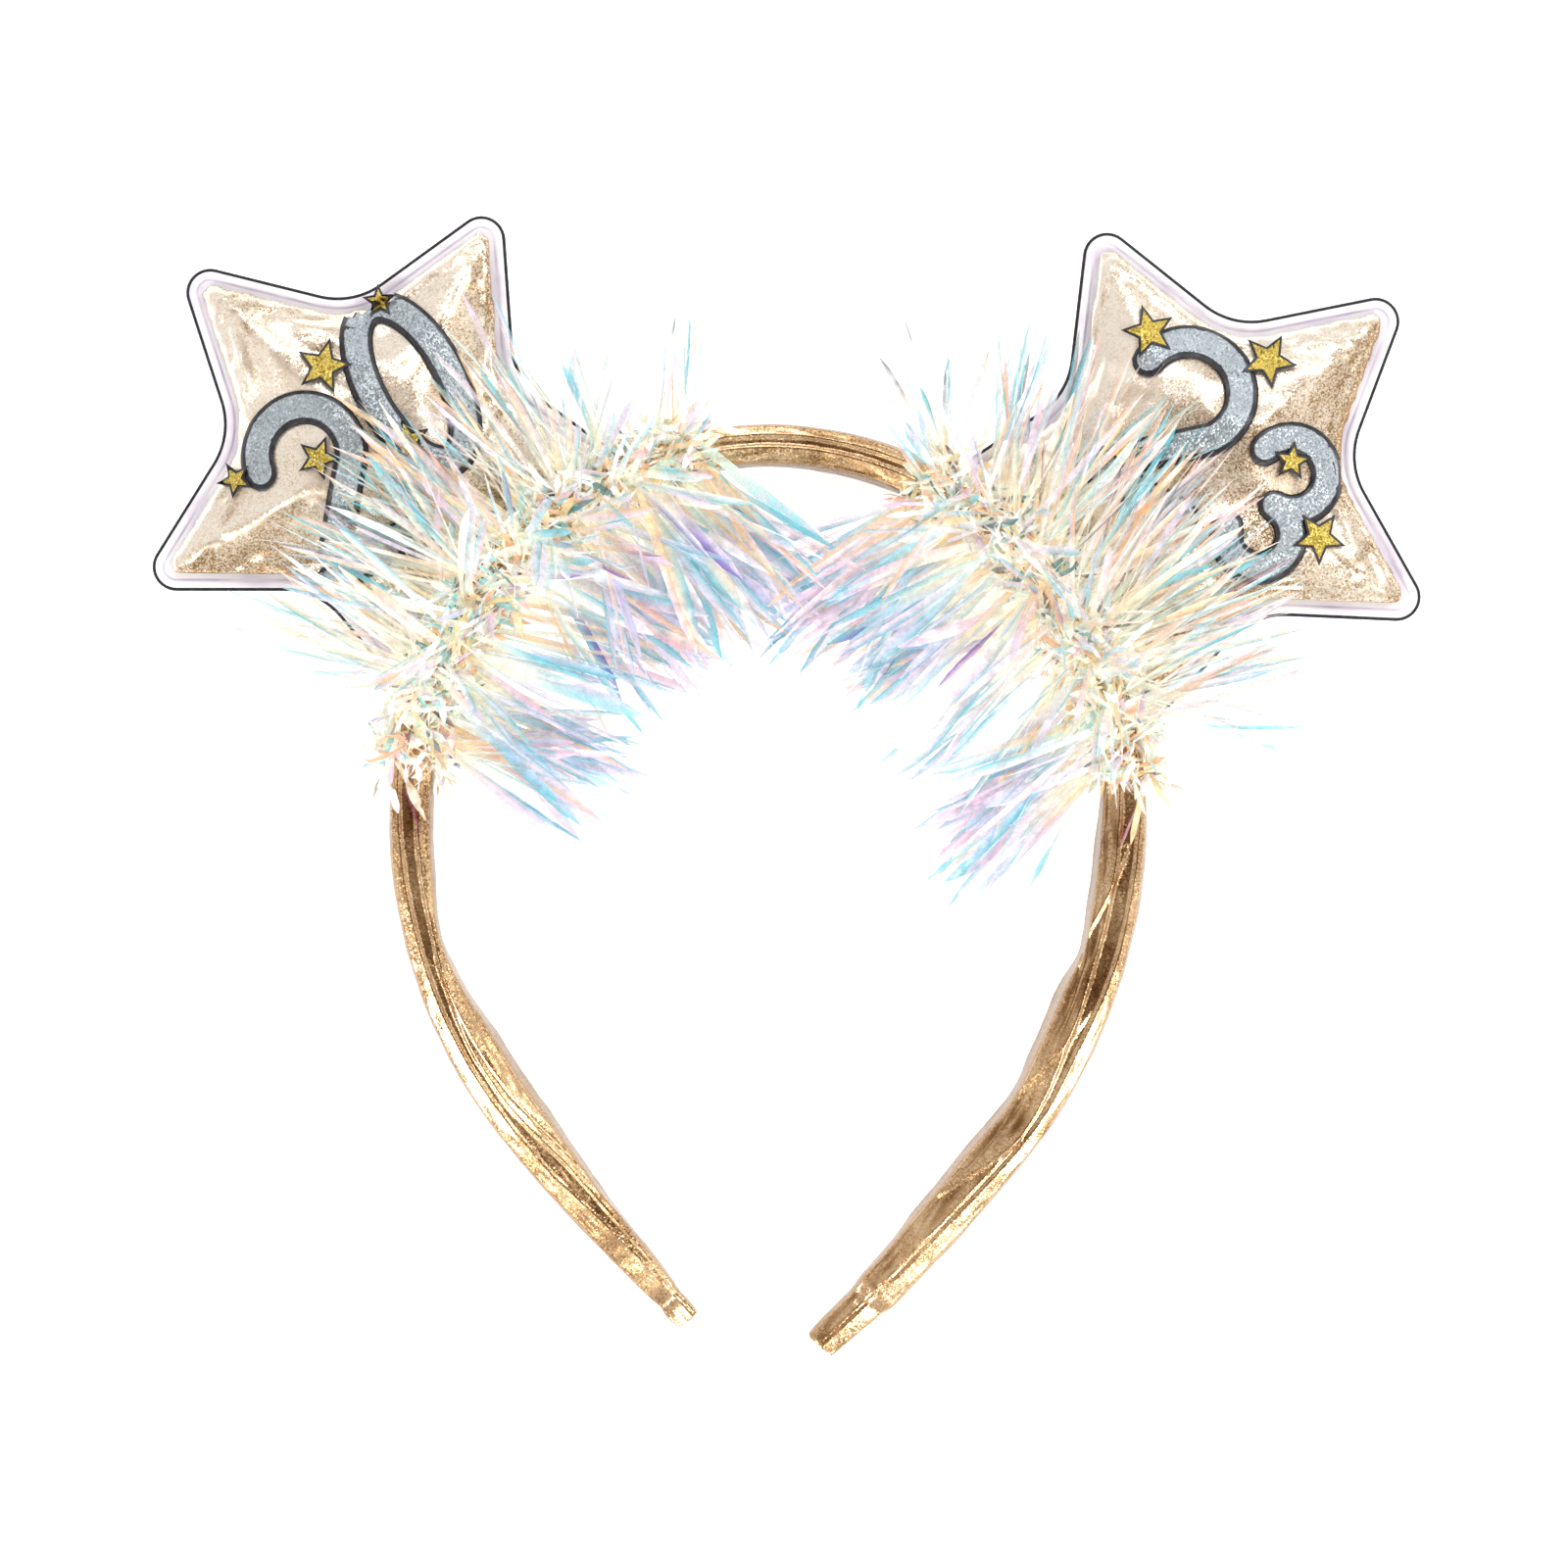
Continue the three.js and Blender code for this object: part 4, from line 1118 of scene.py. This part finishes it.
def bit_ends(side):
    start, end = garland_run[side]
    distance = rng.uniform(min(start, end), max(start, end), bit_count)
    spot, outward, onward = hoop_at(distance)
    turn = np.radians(rng.uniform(-5, 185, bit_count))
    grow = rng.uniform(0.4, 2.6, bit_count) * mm
    across, up = (4.2 * mm + grow) * np.cos(turn), (7.2 * mm + grow) * np.sin(turn)
    roots = np.column_stack([spot + outward * across[:, None], band_height_at(distance) + up])
    off = np.column_stack([outward * np.cos(turn)[:, None], np.sin(turn)])
    round_band = np.column_stack([-outward * np.sin(turn)[:, None], np.cos(turn)])
    along = np.column_stack([onward, np.zeros(bit_count)])
    heading = rng.uniform(0, 2 * math.pi, bit_count)[:, None]
    way = unit(round_band * np.cos(heading) + along * np.sin(heading) + off * rng.uniform(-0.1, 0.7, (bit_count, 1)))
    length = rng.uniform(*bit_length, bit_count)
    return roots, roots + way * length[:, None], length


def bit_colours(count, rings):
    body = drawn_hues(bit_hues, count)[:, None]
    edge = drawn_hues(edge_hues, count)[:, None]
    rim = body * 0.6 + edge * 0.4
    hues = np.stack([np.repeat(part, rings, axis=1) for part in (body, rim, body)], axis=2)
    hues[..., 3] = 0.92
    return hues


def kept_off(middles, side):
    """Blades moved up off the star, the rim and the table."""
    rim_top = 1.4 * mm
    height_at = surface_of(pads[side], rims[side])
    flat = middles.reshape(-1, 3)
    for point in flat:
        under = height_at(point[0], point[1])
        if under is None:
            clear = 0.6 * mm
        else:
            clear = under + (1.9 * mm if under > rim_top + 0.3 * mm else 0.7 * mm)
        point[2] = max(point[2], clear)
    return flat.reshape(middles.shape)


# %% Single blades that lie over the band beside the garlands
stray_rows = [
    # side, distance and across at the root, distance and across at the tip, width, hue
    ("left", -98.0, 4.0, -110.5, -3.0, 2.0, "#FBF0D8"),
    ("left", -104.0, 1.2, -113.5, -2.2, 1.2, "#8A2E6E"),
    ("left", -102.0, 4.6, -109.0, 2.2, 1.4, "#F7F3F0"),
    ("left", -93.0, -3.0, -99.5, -8.8, 1.2, "#7A3C9C"),
    ("right", 94.0, -4.0, 102.0, 4.6, 1.1, "#E4CBDC"),
    ("right", 97.0, 4.8, 112.0, 1.0, 1.2, "#F6E3B4"),
    ("right", 100.0, 4.4, 113.0, -1.0, 0.9, "#C79AB0"),
    ("right", 90.0, -9.0, 107.0, -15.0, 3.4, "#FFFFFF"),
    ("right", 95.0, -7.0, 103.5, -11.0, 2.4, "#F1E2EC"),
]
stray_lift = 0.8 * mm
band_top = surface_of(band)


def stray_strips(side):
    """A mesh of the single blades of one side, each laid just over the band."""
    rows = [row for row in stray_rows if row[0] == side]
    ends = []
    for column in (1, 3):
        spot, outward, _ = hoop_at([row[column] * mm for row in rows])
        spot = spot + outward * (np.array([row[column + 1] for row in rows]) * mm)[:, None]
        heights = [band_top(x, y, True) + stray_lift for x, y in spot]
        ends.append(np.column_stack([spot, heights]))
    middles = strip_points(*ends, np.zeros((len(rows), 3)), blade_rings)
    for point in middles.reshape(-1, 3):
        point[2] = max(point[2], band_top(point[0], point[1], True) + stray_lift)
    hues = np.array([linear(row[6], 0.8) for row in rows])[:, None, None]
    hues = np.broadcast_to(hues, (len(rows), blade_rings, 3, 4))
    return strip_mesh(middles, np.array([row[5] for row in rows]) * mm, np.full(len(rows), 0.4), hues)


# %% Make the garlands
blade_bend = 0.016
bit_bend = 0.05


def blade_strips(side):
    """A mesh of a garland's long blades."""
    roots, tips, kind = blade_ends(side)
    count = len(roots)
    length = np.linalg.norm(tips - roots, axis=1)
    bends = rng.normal(0, blade_bend, (count, 3)) * length[:, None]
    middles = kept_off(strip_points(roots, tips, bends, blade_rings), side)
    widths = np.choose(kind, [rng.uniform(*ends, count) for _, _, ends, _ in lock_kinds])
    solidity = np.choose(kind, [rng.uniform(*ends, count) for _, _, _, ends in lock_kinds])
    return strip_mesh(middles, widths, rng.normal(0, 0.7, count), blade_hues(blade_rings, kind == 0, solidity))


def bit_strips(side):
    """A mesh of the short ends in a garland's core."""
    roots, tips, length = bit_ends(side)
    bends = rng.normal(0, bit_bend, (bit_count, 3)) * length[:, None]
    middles = kept_off(strip_points(roots, tips, bends, bit_rings), side)
    widths = rng.uniform(*bit_width, bit_count)
    return strip_mesh(middles, widths, rng.normal(0, 1.5, bit_count), bit_colours(bit_count, bit_rings))


def make_garland(side):
    bm = bmesh.new()
    for make in (blade_strips, bit_strips, stray_strips):
        bm.from_mesh(make(side))
    piece = put(f"{side}_tinsel", finished(bm), [tinsel_film], smooth=False)
    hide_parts(f"{side}_garland")
    print(piece.name, len(piece.data.polygons), "faces")
    return piece


garlands = {side: make_garland(side) for side in ("left", "right")}
